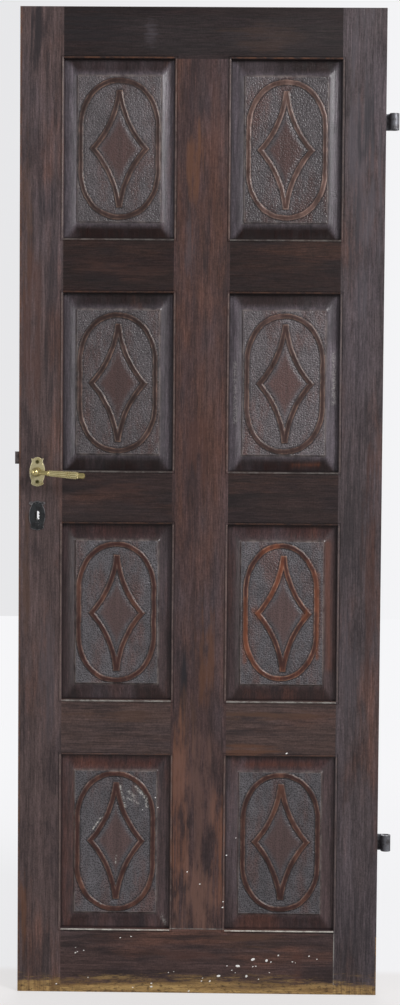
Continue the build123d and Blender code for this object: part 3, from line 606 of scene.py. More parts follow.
def new_piece(
    name: str, points: np.ndarray, faces: list = (), edges: list = (),
    smooth: np.ndarray | None = None,
) -> Object:
    """Make a mesh object at the origin.

    Args:
        name: What the piece is called.
        points: One row of x, y, z in metres for each point.
        faces: The point numbers of each face.
        edges: The point numbers of each loose edge.
        smooth: Which faces are shaded smooth, or None for none of them.

    Returns:
        The new object, linked to the scene.
    """
    mesh = bpy.data.meshes.new(name)
    mesh.from_pydata(np.asarray(points).tolist(), list(edges), list(faces))
    if smooth is not None:
        mesh.polygons.foreach_set("use_smooth", smooth)
    mesh.update()
    piece = bpy.data.objects.new(name, mesh)
    bpy.context.scene.collection.objects.link(piece)
    return piece


def add_layer(piece: Object, name: str, values: np.ndarray, kind: str = "FLOAT") -> None:
    """Give every point of a piece a named number, or a named vector."""
    layer = piece.data.attributes.new(name, kind, "POINT")
    key = "value" if kind == "FLOAT" else "vector"
    layer.data.foreach_set(key, np.asarray(values, np.float32).ravel())


def ball(name: str, radius: float, place: Triple) -> Object:
    """Make a small ball of a radius in millimetres, at a place in metres."""
    piece = new_piece(name, np.zeros((1, 3)))
    shape = bmesh.new()
    bmesh.ops.create_icosphere(shape, subdivisions=2, radius=radius * MILLIMETRE)
    bmesh.ops.translate(shape, verts=shape.verts, vec=place)
    shape.to_mesh(piece.data)
    shape.free()
    return piece


def bar(
    name: str, points: np.ndarray, radius: float, sides: int, finish: Material, closed: bool = False
) -> Object:
    """Make a round bar through points.

    Args:
        name: What the piece is called.
        points: One row of x, y, z in metres for each point.
        radius: The bar's radius in millimetres.
        sides: How many sides it has.
        finish: Its material.
        closed: Whether it ends where it starts.

    Returns:
        The bar.
    """
    count = len(points)
    edges = [(i, (i + 1) % count) for i in range(count if closed else count - 1)]
    piece = new_piece(name, points, edges=edges)
    moulding_tree().run(piece, {"Radius": radius * MILLIMETRE, "Sides": sides, "Finish": finish})
    return piece


def merge(name: str, pieces: list[Object], matrix: Matrix = Matrix()) -> Object:
    """Make one smooth piece at its place out of several, which are removed.

    Args:
        name: What the new piece is called.
        pieces: The pieces, the first of which has the material.
        matrix: Where their common origin goes.

    Returns:
        The merged piece.
    """
    merged = new_piece(name, np.zeros((1, 3)))
    merged.data.materials.append(pieces[0].data.materials[0])
    whole = bmesh.new()
    for piece in pieces:
        whole.from_mesh(piece.data)
        bpy.data.objects.remove(piece)
    bmesh.ops.transform(whole, matrix=matrix, verts=whole.verts)
    whole.to_mesh(merged.data)
    whole.free()
    faces = merged.data.polygons
    faces.foreach_set("use_smooth", np.ones(len(faces), dtype=bool))
    return merged


def attach(piece: Object, body: str, slot: str, *nodes: str) -> None:
    """Let a piece ride on a body and stand for nodes."""
    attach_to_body(piece, body)
    if nodes:
        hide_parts(*nodes)
    log.info("%s: %d faces", piece.name, len(piece.data.polygons))


class Shaper(Tree):
    """A geometry node tree with named inputs, of which the last is its finish."""

    def __init__(self, name: str, floats: tuple = (), whole: tuple = ()) -> None:
        """Start a tree that takes a geometry and gives one back.

        Args:
            name: What the tree is called.
            floats: Its inputs that are lengths or shares.
            whole: Its inputs that are whole numbers.
        """
        super().__init__(bpy.data.node_groups.new(name, "GeometryNodeTree"))
        kinds = {"Geometry": "Geometry", **dict.fromkeys(floats, "Float")}
        kinds |= {**dict.fromkeys(whole, "Int"), "Finish": "Material"}
        self.inputs = {title: self.declare(title, kind) for title, kind in kinds.items()}
        self.declare("Geometry", "Geometry", "OUTPUT")
        self.given = self.node("NodeGroupInput").outputs

    def declare(self, name: str, kind: str, way: str = "INPUT") -> str:
        """Add a named input or output, and give its identifier."""
        kind = f"NodeSocket{kind}"
        return self.tree.interface.new_socket(name, in_out=way, socket_type=kind).identifier

    def layer(self, name: str, kind: str = "FLOAT") -> Socket:
        """A named value of the points."""
        made = self.node("GeometryNodeInputNamedAttribute", {"Name": name}, data_type=kind)
        return made.outputs["Attribute"]

    def chance(self, low: float, high: float) -> Socket:
        """A random number for each point, from the tree's seed."""
        made = self.node("FunctionNodeRandomValue", {"Seed": self.given["Seed"]}, data_type="FLOAT")
        limits = [socket for socket in made.inputs if socket.type == "VALUE"]
        for socket, value in zip(limits, (low, high)):
            socket.default_value = value
        return next(socket for socket in made.outputs if socket.type == "VALUE")

    def raised(self, geometry: Socket, z: Socket) -> Socket:
        """A geometry moved up by z."""
        inputs = {"Geometry": geometry, "Translation": self.triple(z=z)}
        return self.node("GeometryNodeTransform", inputs).outputs["Geometry"]

    def copies(
        self, shape: Socket, turn: Socket, points: Socket, size: object = (1, 1, 1)
    ) -> Socket:
        """A copy of a shape on every point."""
        inputs = {"Points": points, "Instance": shape, "Rotation": turn, "Scale": size}
        return self.node("GeometryNodeInstanceOnPoints", inputs).outputs["Instances"]

    def close(self, geometry: Socket) -> "Shaper":
        """End the tree in Realize Instances and Set Material."""
        real = self.node("GeometryNodeRealizeInstances", {"Geometry": geometry}).outputs["Geometry"]
        inputs = {"Geometry": real, "Material": self.given["Finish"]}
        coated = self.node("GeometryNodeSetMaterial", inputs).outputs["Geometry"]
        self.node("NodeGroupOutput", {0: coated})
        return self

    def run(self, piece: Object, values: dict[str, object]) -> None:
        """Put the tree on a piece with these values, and keep what it makes as plain mesh."""
        modifier = piece.modifiers.new(self.tree.name, "NODES")
        modifier.node_group = self.tree
        for name, value in values.items():
            modifier[self.inputs[name]] = value
        graph = bpy.context.evaluated_depsgraph_get()
        made = bpy.data.meshes.new_from_object(
            piece.evaluated_get(graph), preserve_all_data_layers=True, depsgraph=graph
        )
        piece.modifiers.clear()
        piece.data = made


@cache
def punching_tree() -> Shaper:
    """A tree that punches a dotted ground into a mesh, where its ground layer says so."""
    tree = Shaper("punched_ground", ("Pitch", "Depth", "Scatter"))
    place = tree.node("GeometryNodeInputPosition").outputs[0]
    scale = tree.maths("DIVIDE", 1.0, tree.given["Pitch"])
    mark = tree.span(tree.pits(place, scale, tree.given["Scatter"]), *PUNCH_MARK, 1.0, 0.0)
    depth = tree.maths("MULTIPLY", mark, tree.given["Depth"])
    depth = tree.maths("MULTIPLY", depth, tree.layer("ground"))
    inputs = {"Geometry": tree.given["Geometry"], "Offset": tree.triple(y=depth)}
    return tree.close(tree.node("GeometryNodeSetPosition", inputs).outputs["Geometry"])


@cache
def moulding_tree() -> Shaper:
    """A tree that runs a round bar along the edges of a mesh."""
    tree = Shaper("moulding", ("Radius",), ("Sides",))
    path = tree.node("GeometryNodeMeshToCurve", {"Mesh": tree.given["Geometry"]})
    circle = {"Radius": tree.given["Radius"], "Resolution": tree.given["Sides"]}
    profile = tree.node("GeometryNodeCurvePrimitiveCircle", circle)
    inputs = {"Curve": path.outputs["Curve"], "Profile Curve": profile.outputs["Curve"]}
    made = tree.node("GeometryNodeCurveToMesh", {**inputs, "Fill Caps": True})
    return tree.close(made.outputs["Mesh"])


@cache
def ring_tree() -> Shaper:
    """A tree that repeats a shape round the upright axis of its own coordinates."""
    tree = Shaper("turned_ring", whole=("Count",))
    count = tree.given["Count"]
    spots = tree.node("GeometryNodeMeshLine", {"Count": count, "Offset": (0.0, 0.0, 0.0)})
    number = tree.node("GeometryNodeInputIndex").outputs[0]
    turn = tree.maths("MULTIPLY", number, tree.maths("DIVIDE", math.tau, count))
    copies = tree.copies(tree.given["Geometry"], tree.triple(z=turn), spots.outputs["Mesh"])
    return tree.close(copies)


@cache
def screw_tree() -> Shaper:
    """A tree that sets a slotted countersunk screw on each point, with its slot at any angle."""
    names = ("Head", "Shank", "Length", "Slot Width", "Slot Depth")
    tree = Shaper("slotted_screws", names, ("Seed",))
    head, shank, length, slot_width, slot_depth = (tree.given[name] for name in names)
    depth = tree.maths("SUBTRACT", head, shank)
    stem_length = tree.maths("SUBTRACT", length, depth)
    middle = tree.maths("MULTIPLY", tree.maths("ADD", length, depth), -0.5)
    across, deep = tree.maths("MULTIPLY", head, 2.5), tree.maths("MULTIPLY", slot_depth, 2.0)
    cone = {"Vertices": 24, "Radius Top": head, "Radius Bottom": shank, "Depth": depth}
    cone = tree.node("GeometryNodeMeshCone", cone).outputs["Mesh"]
    slot = {"Size": tree.triple(across, slot_width, deep)}
    slot = tree.node("GeometryNodeMeshCube", slot).outputs["Mesh"]
    stem = {"Vertices": 12, "Radius": shank, "Depth": stem_length}
    stem = tree.node("GeometryNodeMeshCylinder", stem).outputs["Mesh"]
    cut = {"Mesh 1": tree.raised(cone, tree.maths("MULTIPLY", depth, -1.0)), "Mesh 2": slot}
    cut = tree.node("GeometryNodeMeshBoolean", cut, operation="DIFFERENCE").outputs["Mesh"]
    screw = tree.node("GeometryNodeJoinGeometry")
    for part in (cut, tree.raised(stem, middle)):
        tree.feed(screw.inputs[0], part)
    facing = tree.layer("facing", "FLOAT_VECTOR")
    copies = tree.copies(screw.outputs[0], facing, tree.given["Geometry"])
    turned = {"Instances": copies, "Rotation": tree.triple(z=tree.chance(0.0, math.pi))}
    return tree.close(tree.node("GeometryNodeRotateInstances", turned).outputs["Instances"])


@cache
def splash_tree() -> Shaper:
    """A tree that sets a small flat splash on each point, as wide as its size layer says."""
    tree = Shaper("lime_splashes", ("Thickness", "Stretch"), ("Seed",))
    drop = tree.node("GeometryNodeMeshIcoSphere", {"Radius": 1.0, "Subdivisions": 2})
    size = tree.layer("size")
    long = tree.maths("MULTIPLY", size, tree.chance(1.0, 1.6))
    long = tree.maths("MULTIPLY", long, tree.given["Stretch"])
    shape = tree.triple(long, tree.given["Thickness"], size)
    turn = tree.triple(y=tree.chance(-0.9, 0.1))
    return tree.close(tree.copies(drop.outputs["Mesh"], turn, tree.given["Geometry"], shape))


def ripple(x: np.ndarray, z: np.ndarray, length: float, seed: int) -> np.ndarray:
    """A smooth random field from -1 to 1, the same for the same seed.

    Args:
        x: Places across, in millimetres.
        z: Places up, in millimetres.
        length: The usual distance between two crests.
        seed: Which field.

    Returns:
        The field at each place.
    """
    draw = np.random.default_rng(seed)
    total = np.zeros_like(x)
    waves = 7
    for _ in range(waves):
        angle, phase = draw.uniform(0, math.tau), draw.uniform(0, math.tau)
        stretch = draw.uniform(0.6, 1.7)
        wave = math.tau / (length * stretch)
        total += np.sin(wave * (math.cos(angle) * x + math.sin(angle) * z) + phase)
    return total / math.sqrt(2 * waves)


def near(gap: np.ndarray, reach: float) -> np.ndarray:
    """A soft peak of 1 where a gap is nought, which dies away over a reach."""
    return np.exp(-((gap / reach) ** 2))


@dataclass(frozen=True)
class Stroke:
    """A scuff or a rubbed streak on a panel, in millimetres from its middle."""

    layer: str
    start: tuple[float, float]
    end: tuple[float, float]
    width: float
    strength: float = 1.0

    def lay(self, x: np.ndarray, z: np.ndarray) -> np.ndarray:
        """How strongly the stroke marks each place."""
        run = np.array(self.end) - np.array(self.start)
        share = ((x - self.start[0]) * run[0] + (z - self.start[1]) * run[1]) / max(run @ run, 1e-6)
        share = np.clip(share, 0, 1)
        gap = np.hypot(x - self.start[0] - share * run[0], z - self.start[1] - share * run[1])
        return self.strength * near(gap, self.width)


@dataclass(frozen=True)
class Carving:
    """How a hand-cut panel strays from the pattern, and how dark it is.

    The oval and the diamond each have their growth, then their shift, across and up in
    millimetres.
    """

    oval: tuple[float, float, float, float]
    diamond: tuple[float, float, float, float]
    margin_depth: float
    field_depth: float


@dataclass
class CarvedPanel:
    """A panel with a coved margin, an oval band, a diamond band and a pillow. In millimetres."""

    node: str
    carving: Carving
    finish: Material
    seed: int
    strokes: tuple[Stroke, ...] = ()
    margin_side: float = 27.5
    margin_end: float = 33.0
    tongue: float = 10.0
    tongue_thick: float = 12.0
    margin_depth: float = 11.0
    cove_top_depth: float = 6.2
    cove_hollow: float = 2.0
    ground_depth: float = 4.2
    oval_inset: float = 2.0
    oval_end: float = 96.0
    oval_shoulder: float = 112.0
    diamond_side_inset: float = 24.0
    diamond_end_inset: float = 27.0
    diamond_tip: float = 13.0
    diamond_hollow: float = 11.0
    band_width: float = 11.0
    band_insets: tuple[float, ...] = (0.0, 0.8, 3.0)
    band_rises: tuple[float, ...] = (0.0, 1.6, 2.4)
    pillow_slope: float = 10.0
    pillow_height: float = 1.7
    cut_depth: float = 0.7
    cut_width: float = 0.9
    rim_width: float = 0.9
    rim_inset: float = 1.6
    back_margin: float = 30.0
    back_slope_depth: float = 12.5
    back_field_depth: float = 10.0
    grid: float = 1.12
    grid_edge: float = 1.2
    grid_chamfer: tuple[float, ...] = (0.3, 0.8)
    cove_lines: int = 8
    punch_depth: float = 0.75
    outline_waves: tuple[Pair, ...] = ((34.0, 0.45), (9.0, 0.18))
    diamond_wobble: float = 0.8
    surface_waves: tuple[Pair, ...] = ((22.0, 0.12), (6.0, 0.08))
    cove_waver: float = 0.1
    stray_punching: Pair = (60.0, 0.3)
    field_start: float = 0.2
    field_ease: Pair = (0.35, 0.7)
    band_cover: float = 1.2
    mitre: Pair = (0.5, 0.1)
    # where the painted shade sits: just outside the field's edge and along the margin's outer edge
    corner_dirt_and_shade: tuple[float, ...] = (0.9, 0.8, 2.0)
    arris_highlight_and_wear: Pair = (0.4, 1.1)
    punch_start: float = 2.0
    pillow_punching: float = 0.45

    def __post_init__(self) -> None:
        """Take the panel's place and size from the frame."""
        low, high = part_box(self.node)
        self.centre = ((low.x + high.x) / 2, (low.z + high.z) / 2)
        self.half_width = (high.x - low.x) / 2 / MILLIMETRE - self.tongue
        self.half_height = (high.z - low.z) / 2 / MILLIMETRE - self.tongue
        self.y_front, self.y_back = (corner.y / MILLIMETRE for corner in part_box("lock_stile"))

    def lines(self, half: float, margin: float) -> np.ndarray:
        """Grid lines across the panel, close together on the field and wider on the cove."""
        edge = half - margin
        chamfer = np.array([edge - inset for inset in self.grid_chamfer])
        field_edge = edge - self.grid_edge
        field = np.linspace(-field_edge, field_edge, int(2 * field_edge / self.grid) + 1)
        cove = np.linspace(edge, half, self.cove_lines)
        outer = np.array([half + self.tongue])
        return np.concatenate([-outer, -cove[::-1], -chamfer, field, chamfer[::-1], cove, outer])

    def oval_depth(self, x: np.ndarray, z: np.ndarray) -> np.ndarray:
        """How far inside the oval's outline each place lies."""
        grow_x, grow_z, shift_x, shift_z = self.carving.oval
        x, z = np.abs(x - shift_x), np.abs(z - shift_z)
        half_width = self.half_width - self.margin_side - self.oval_inset + grow_x / 2
        half_height = self.half_height - self.margin_end - self.oval_inset + grow_z / 2
        spring = half_height - self.oval_end
        reach, rise = half_width - self.oval_shoulder, self.oval_end - self.oval_shoulder
        crown_shift = (reach**2 - rise**2) / (2 * rise)
        crown = self.oval_end + crown_shift
        turn = math.atan2(-crown_shift, -reach)
        above = z - spring
        shoulder = self.oval_shoulder - np.hypot(x - reach, above)
        crowned = crown - np.hypot(x, above + crown_shift)
        end = np.where(np.arctan2(above, x - reach) < turn, shoulder, crowned)
        return np.where(above < 0, half_width - x, end)

    def diamond_depth(self, x: np.ndarray, z: np.ndarray) -> np.ndarray:
        """How far inside the diamond's outline each place lies."""
        grow_x, grow_z, shift_x, shift_z = self.carving.diamond
        x, z = np.abs(x - shift_x), np.abs(z - shift_z)
        side = self.half_width - self.margin_side - self.diamond_side_inset + grow_x / 2
        top = self.half_height - self.margin_end - self.diamond_end_inset + grow_z / 2
        tip = self.diamond_tip / 2
        chord = math.hypot(tip - side, top)
        radius = (chord**2 / 4 + self.diamond_hollow**2) / (2 * self.diamond_hollow)
        centre_x = (side + tip) / 2 + top / chord * (radius - self.diamond_hollow)
        centre_z = top / 2 + (side - tip) / chord * (radius - self.diamond_hollow)
        return np.minimum(np.hypot(x - centre_x, z - centre_z) - radius, top - z)

    def band_rise(self, depth: np.ndarray) -> np.ndarray:
        """The rise of a rounded band above the ground, by the depth inside its outline."""
        insets, rises = np.array(self.band_insets), np.array(self.band_rises)
        places = np.concatenate([insets, self.band_width - insets[::-1]])
        return np.interp(depth, places, np.concatenate([rises, rises[::-1]]))

    def uneven(self, x: np.ndarray, z: np.ndarray, waves: tuple, first: int) -> np.ndarray:
        """Ripples added up, each with its length and height in millimetres."""
        return sum(
            height * ripple(x, z, length, self.seed + first + turn)
            for turn, (length, height) in enumerate(waves)
        )

    def front(self, x: np.ndarray, z: np.ndarray) -> tuple[np.ndarray, dict[str, np.ndarray]]:
        """The carved face: its depth behind the leaf's front, and the layers for its finish, some
        of them painted highlight and shade.

        Args:
            x: Places across from the panel's middle, in millimetres.
            z: Places up from it.

        Returns:
            The depth at each place, and the layers by name.
        """
        side = np.clip((self.half_width - np.abs(x)) / self.margin_side, 0, 1)
        end = np.clip((self.half_height - np.abs(z)) / self.margin_end, 0, 1)
        drop = self.margin_depth - self.cove_top_depth
        coves = (
            self.margin_depth - drop * t + 4 * self.cove_hollow * t * (1 - t) for t in (side, end)
        )
        field_gap = np.minimum(
            self.half_width - self.margin_side - np.abs(x),
            self.half_height - self.margin_end - np.abs(z),
        )
        inside = field_gap > self.field_start
        wobble = self.uneven(x, z, self.outline_waves, 0)
        oval = self.oval_depth(x, z) + wobble
        diamond = self.diamond_depth(x, z) + self.diamond_wobble * wobble
        bands = np.maximum(self.band_rise(oval), self.band_rise(diamond))
        slope = np.interp(diamond, [self.band_width, self.band_width + self.pillow_slope], [0, 1])
        cuts = sum(
            near(gap, self.cut_width)
            for depth in (oval, diamond)
            for gap in (depth + self.cut_width, depth - self.band_width - self.cut_width)
        )
        cuts = np.clip(cuts, 0, 1) * inside
        waver = self.uneven(x, z, self.surface_waves, 2)
        rise = np.maximum(bands, self.pillow_height * slope) + np.minimum(waver, 0)
        rise -= self.cut_depth * cuts
        height, reach = self.field_ease
        eased = self.ground_depth + height * near(field_gap, reach)
        cove = np.maximum(*coves) + self.cove_waver * np.abs(waver)
        behind = np.where(inside, eased - rise, cove)
        on_band = np.clip(bands / self.band_cover, 0, 1) * inside
        width, lead = self.mitre
        mitre = np.clip((side - end) / width + lead, 0, 1) * ~inside
        ends = mitre**2 * (3 - 2 * mitre)
        rims = (
            near(gap, self.rim_width)
            for depth in (oval, diamond)
            for gap in (depth - self.rim_inset, self.band_width - self.rim_inset - depth)
        )
        length, share = self.stray_punching
        stray = share * np.clip(ripple(x, z, length, self.seed + 4), 0, 1) * ~inside * (1 - ends)
        # painted shade at the foot of the field's step and along the margin's outer edge, under the
        # frame
        out, reach, rim_reach = self.corner_dirt_and_shade
        corner = np.maximum(
            near(field_gap + out, reach), near(np.minimum(side, end) * self.margin_side, rim_reach)
        )
        punched = inside * (1 - on_band) * np.clip(field_gap / self.punch_start, 0, 1)
        punched = punched * (1 - self.pillow_punching * slope)
        arris_at, arris_width = self.arris_highlight_and_wear
        layers = {
            "field": inside.astype(float),
            "band": on_band * (1 - 0.5 * cuts),
            "pillow": slope**2 * np.clip(diamond / (2.4 * self.band_width), 0, 1) * inside,
            "ground": punched + stray,
            # head and foot darken the top and bottom coves: partly end grain, partly painted shade
            "head": ends * (z > 0),
            "foot": ends * (z < 0),
            # pale line along the field's edge: partly wear, partly painted highlight
            "arris_wear_and_highlight": near(field_gap - arris_at, arris_width),
            # pale lines on the band crests: partly wear, partly painted highlight
            "rim": np.clip(sum(rims), 0, 1) * on_band,
            # painted shade, partly grime, in the cuts and along the field's and margin's edges
            "painted_shade": np.clip(0.75 * cuts + 0.7 * corner, 0, 1),
            "scuff": np.zeros_like(x),
            "rub": np.zeros_like(x),
        }
        for stroke in self.strokes:
            layers[stroke.layer] = np.maximum(layers[stroke.layer], stroke.lay(x, z))
        return behind, layers

    def build(self) -> None:
        """Make the panel's closed mesh, punch its ground and put it in the place of its node."""
        columns = self.lines(self.half_width, self.margin_side)
        rows = self.lines(self.half_height, self.margin_end)
        x, z = (grid.ravel() for grid in np.meshgrid(columns, rows))
        depth, layers = self.front(x, z)
        number = np.arange(x.size).reshape(len(rows), len(columns))
        corners = (number[:-1, :-1], number[:-1, 1:], number[1:, 1:], number[1:, :-1])
        quads = np.stack(corners, axis=-1).reshape(-1, 4)
        rim = np.concatenate([number[0, :-1], number[:-1, -1], number[-1, :0:-1], number[:0:-1, 0]])
        front = np.stack([x, self.y_front + depth, z], axis=1)
        points, faces = self.back(front, rim, quads.tolist())
        smooth = np.arange(len(faces)) < len(quads)
        points[:, 0] += self.centre[0] / MILLIMETRE
        points[:, 2] += self.centre[1] / MILLIMETRE
        piece = new_piece(f"carved_{self.node}", points * MILLIMETRE, faces, smooth=smooth)
        for name, values in layers.items():
            add_layer(piece, name, np.pad(values, (0, len(points) - len(values))))
        depth = self.punch_depth * MILLIMETRE
        values = {"Pitch": PUNCH_PITCH, "Depth": depth, "Scatter": PUNCH_SCATTER}
        punching_tree().run(piece, {**values, "Finish": self.finish})
        attach(piece, "leaf", "panel_wood", self.node)

    def back(self, front: np.ndarray, rim: np.ndarray, faces: list) -> tuple[np.ndarray, list]:
        """Close the panel behind its face.

        Args:
            front: The points of the face.
            rim: The numbers of those round its edge.
            faces: The faces of the face.

        Returns:
            All points and all faces, with the tongue, the sloped back margin and the back field.
        """
        y_tongue = self.y_front + self.margin_depth + self.tongue_thick
        half = np.array([self.half_width, self.half_height])
        outer, inner = half + self.tongue, half - self.back_margin
        points, last, total = [front], rim, len(front)
        y_slope, y_field = (self.y_back - d for d in (self.back_slope_depth, self.back_field_depth))
        for size, y in ((outer, y_tongue), (half, y_tongue), (inner, y_slope), (inner, y_field)):
            ring = front[rim].copy()
            ring[:, 0] *= size[0] / outer[0]
            ring[:, 2] *= size[1] / outer[1]
            ring[:, 1] = y
            points.append(ring)
            now = total + np.arange(len(rim))
            total += len(rim)
            faces += np.stack([np.roll(last, -1), last, now, np.roll(now, -1)], axis=1).tolist()
            last = now
        faces.append(last[::-1].tolist())
        return np.concatenate(points), faces


@dataclass
class Studio:
    """The floor, the soft lights and the camera, in metres, degrees and watts."""

    floor_size: float = 14.0
    floor_gap: float = 0.001
    floor_tone: Colour = tone(238, 236, 236)
    far_tone: Colour = tone(246, 246, 248)
    far_start: Pair = (0.10, 0.15)
    floor_glow: float = 0.7
    floor_fade: Pair = (1.3, 3.5)
    floor_bounce: float = 0.38
    backdrop_tone: Colour = tone(242, 242, 244)
    wall_shade: tuple[float, ...] = (-0.12, 0.12, 0.9, 1.03)
    room_light: float = 0.46
    gloss_shift: float = 0.14
    gloss_spread: tuple[float, ...] = (0.15, 0.75, 0.10, 0.7)
    lens: float = 65.0
    camera_place: Triple = (-0.341, -3.702, 0.869)
    camera_turn: Triple = (87.348, -0.441, 0.731)
    lamps: tuple = (
        ("key_light", (2.3, -3.0, 2.9), (0.8, 1.5), 135.0),
        ("side_light", (-3.2, -2.9, 1.2), (0.9, 2.4), 30.0),
        ("back_light", (-0.4, 4.0, 2.2), (2.0, 2.0), 60.0),
    )

    def floor(self) -> None:
        """A plain pale floor, which shows paler to the camera and keeps the leaf's shadow."""
        half = self.floor_size / 2
        z = cad_box[0].z - self.floor_gap
        points = np.array([(-half, -half, z), (half, -half, z), (half, half, z), (-half, half, z)])
        floor = new_piece("floor", points, [[0, 1, 2, 3]])
        board = Board("pale_floor")
        faded = board.span(board.gap("LENGTH"), *self.floor_fade)
        far = board.maths("MAXIMUM", board.span(board.axis("Y"), *self.far_start), faded)
        colour = board.blend(far, self.floor_tone, self.far_tone)
        seen = board.node("ShaderNodeLightPath").outputs["Is Camera Ray"]
        board.coat({
            "Base Color": board.blend(seen, (self.floor_bounce,) * 3, colour),
            "Roughness": 0.9,
            "Specular IOR Level": 0.1,
        })
        glow = board.node("ShaderNodeEmission", {"Color": colour}).outputs[0]
        share = board.maths("MULTIPLY", seen, board.span(faded, 0.0, 1.0, self.floor_glow, 1.0))
        mix = board.node("ShaderNodeMixShader", {0: share, 1: board.shader.outputs[0], 2: glow})
        board.feed(board.tree.nodes["Material Output"].inputs["Surface"], mix.outputs[0])
        floor.data.materials.append(board.material)

    def room(self) -> None:
        """A pale room, whose reflection is dim from ahead and behind and paler from the sides."""
        world = bpy.data.worlds.new("room")
        bpy.context.scene.world = world
        world.use_nodes = True
        world.node_tree.nodes.clear()
        tree = Tree(world.node_tree)
        path = tree.node("ShaderNodeLightPath").outputs
        way = tree.part(tree.node("ShaderNodeTexCoord").outputs["Generated"], "X")
        sideways = tree.maths("ABSOLUTE", tree.maths("ADD", way, self.gloss_shift))
        gloss = tree.span(sideways, *self.gloss_spread)
        wall = tree.span(way, *self.wall_shade, how="LINEAR")
        light, shine, shown = (
            tree.node("ShaderNodeBackground", {"Color": colour, "Strength": strength}).outputs[0]
            for colour, strength in (
                ((1.0, 1.0, 1.0), self.room_light),
                (self.backdrop_tone, gloss),
                (self.backdrop_tone, wall),
            )
        )
        mirrored = tree.maths("MAXIMUM", path["Is Glossy Ray"], path["Is Transmission Ray"])
        lit = tree.node("ShaderNodeMixShader", {0: mirrored, 1: light, 2: shine}).outputs[0]
        seen = tree.node("ShaderNodeMixShader", {0: path["Is Camera Ray"], 1: lit, 2: shown})
        tree.node("ShaderNodeOutputWorld", {"Surface": seen.outputs[0]})

    def lamp(self, name: str, place: Triple, size: Pair, power: float) -> None:
        """A soft rectangular light that looks at the middle of the leaf."""
        light = bpy.data.lights.new(name, "AREA")
        light.shape = "RECTANGLE"
        light.size, light.size_y = size
        light.energy = power
        lamp = bpy.data.objects.new(name, light)
        middle = (cad_box[0] + cad_box[1]) / 2
        lamp.location = place
        lamp.rotation_euler = (middle - Vector(place)).to_track_quat("-Z", "Y").to_euler()
        bpy.context.scene.collection.objects.link(lamp)

    def camera(self) -> None:
        """The camera at the photograph's angle."""
        data = bpy.data.cameras.new("camera")
        data.lens = self.lens
        camera = bpy.data.objects.new("camera", data)
        camera.location = self.camera_place
        camera.rotation_euler = tuple(math.radians(angle) for angle in self.camera_turn)
        bpy.context.scene.collection.objects.link(camera)
        bpy.context.scene.camera = camera

    def build(self) -> None:
        """Set up the stage."""
        self.floor()
        self.room()
        for lamp in self.lamps:
            self.lamp(*lamp)
        self.camera()
        bpy.context.scene.view_settings.view_transform = "Standard"
        log.info("stage set")


# The pale lines on the bead crests below are partly wear and partly painted highlight, brightest on
# the beads that face up.
PALE_WEAR_AND_HIGHLIGHT = tone(150, 147, 142)
WORN_EDGE_AND_HIGHLIGHT = tone(114, 98, 92)
ORANGE_WEAR = tone(104, 68, 48)
RED_WEAR = tone(86, 56, 48)
BROWN_WEAR = tone(86, 62, 50)
BLUE_BLACK = tone(32, 31, 36)
# blue-grey haze; the patches high on the hinge stile are painted sheen
HAZE = tone(84, 78, 84)
UMBER = tone(30, 24, 24)
OCHRE_EDGE = tone(176, 138, 82)
BEAD_WEAR_AND_HIGHLIGHT = tone(190, 186, 178)


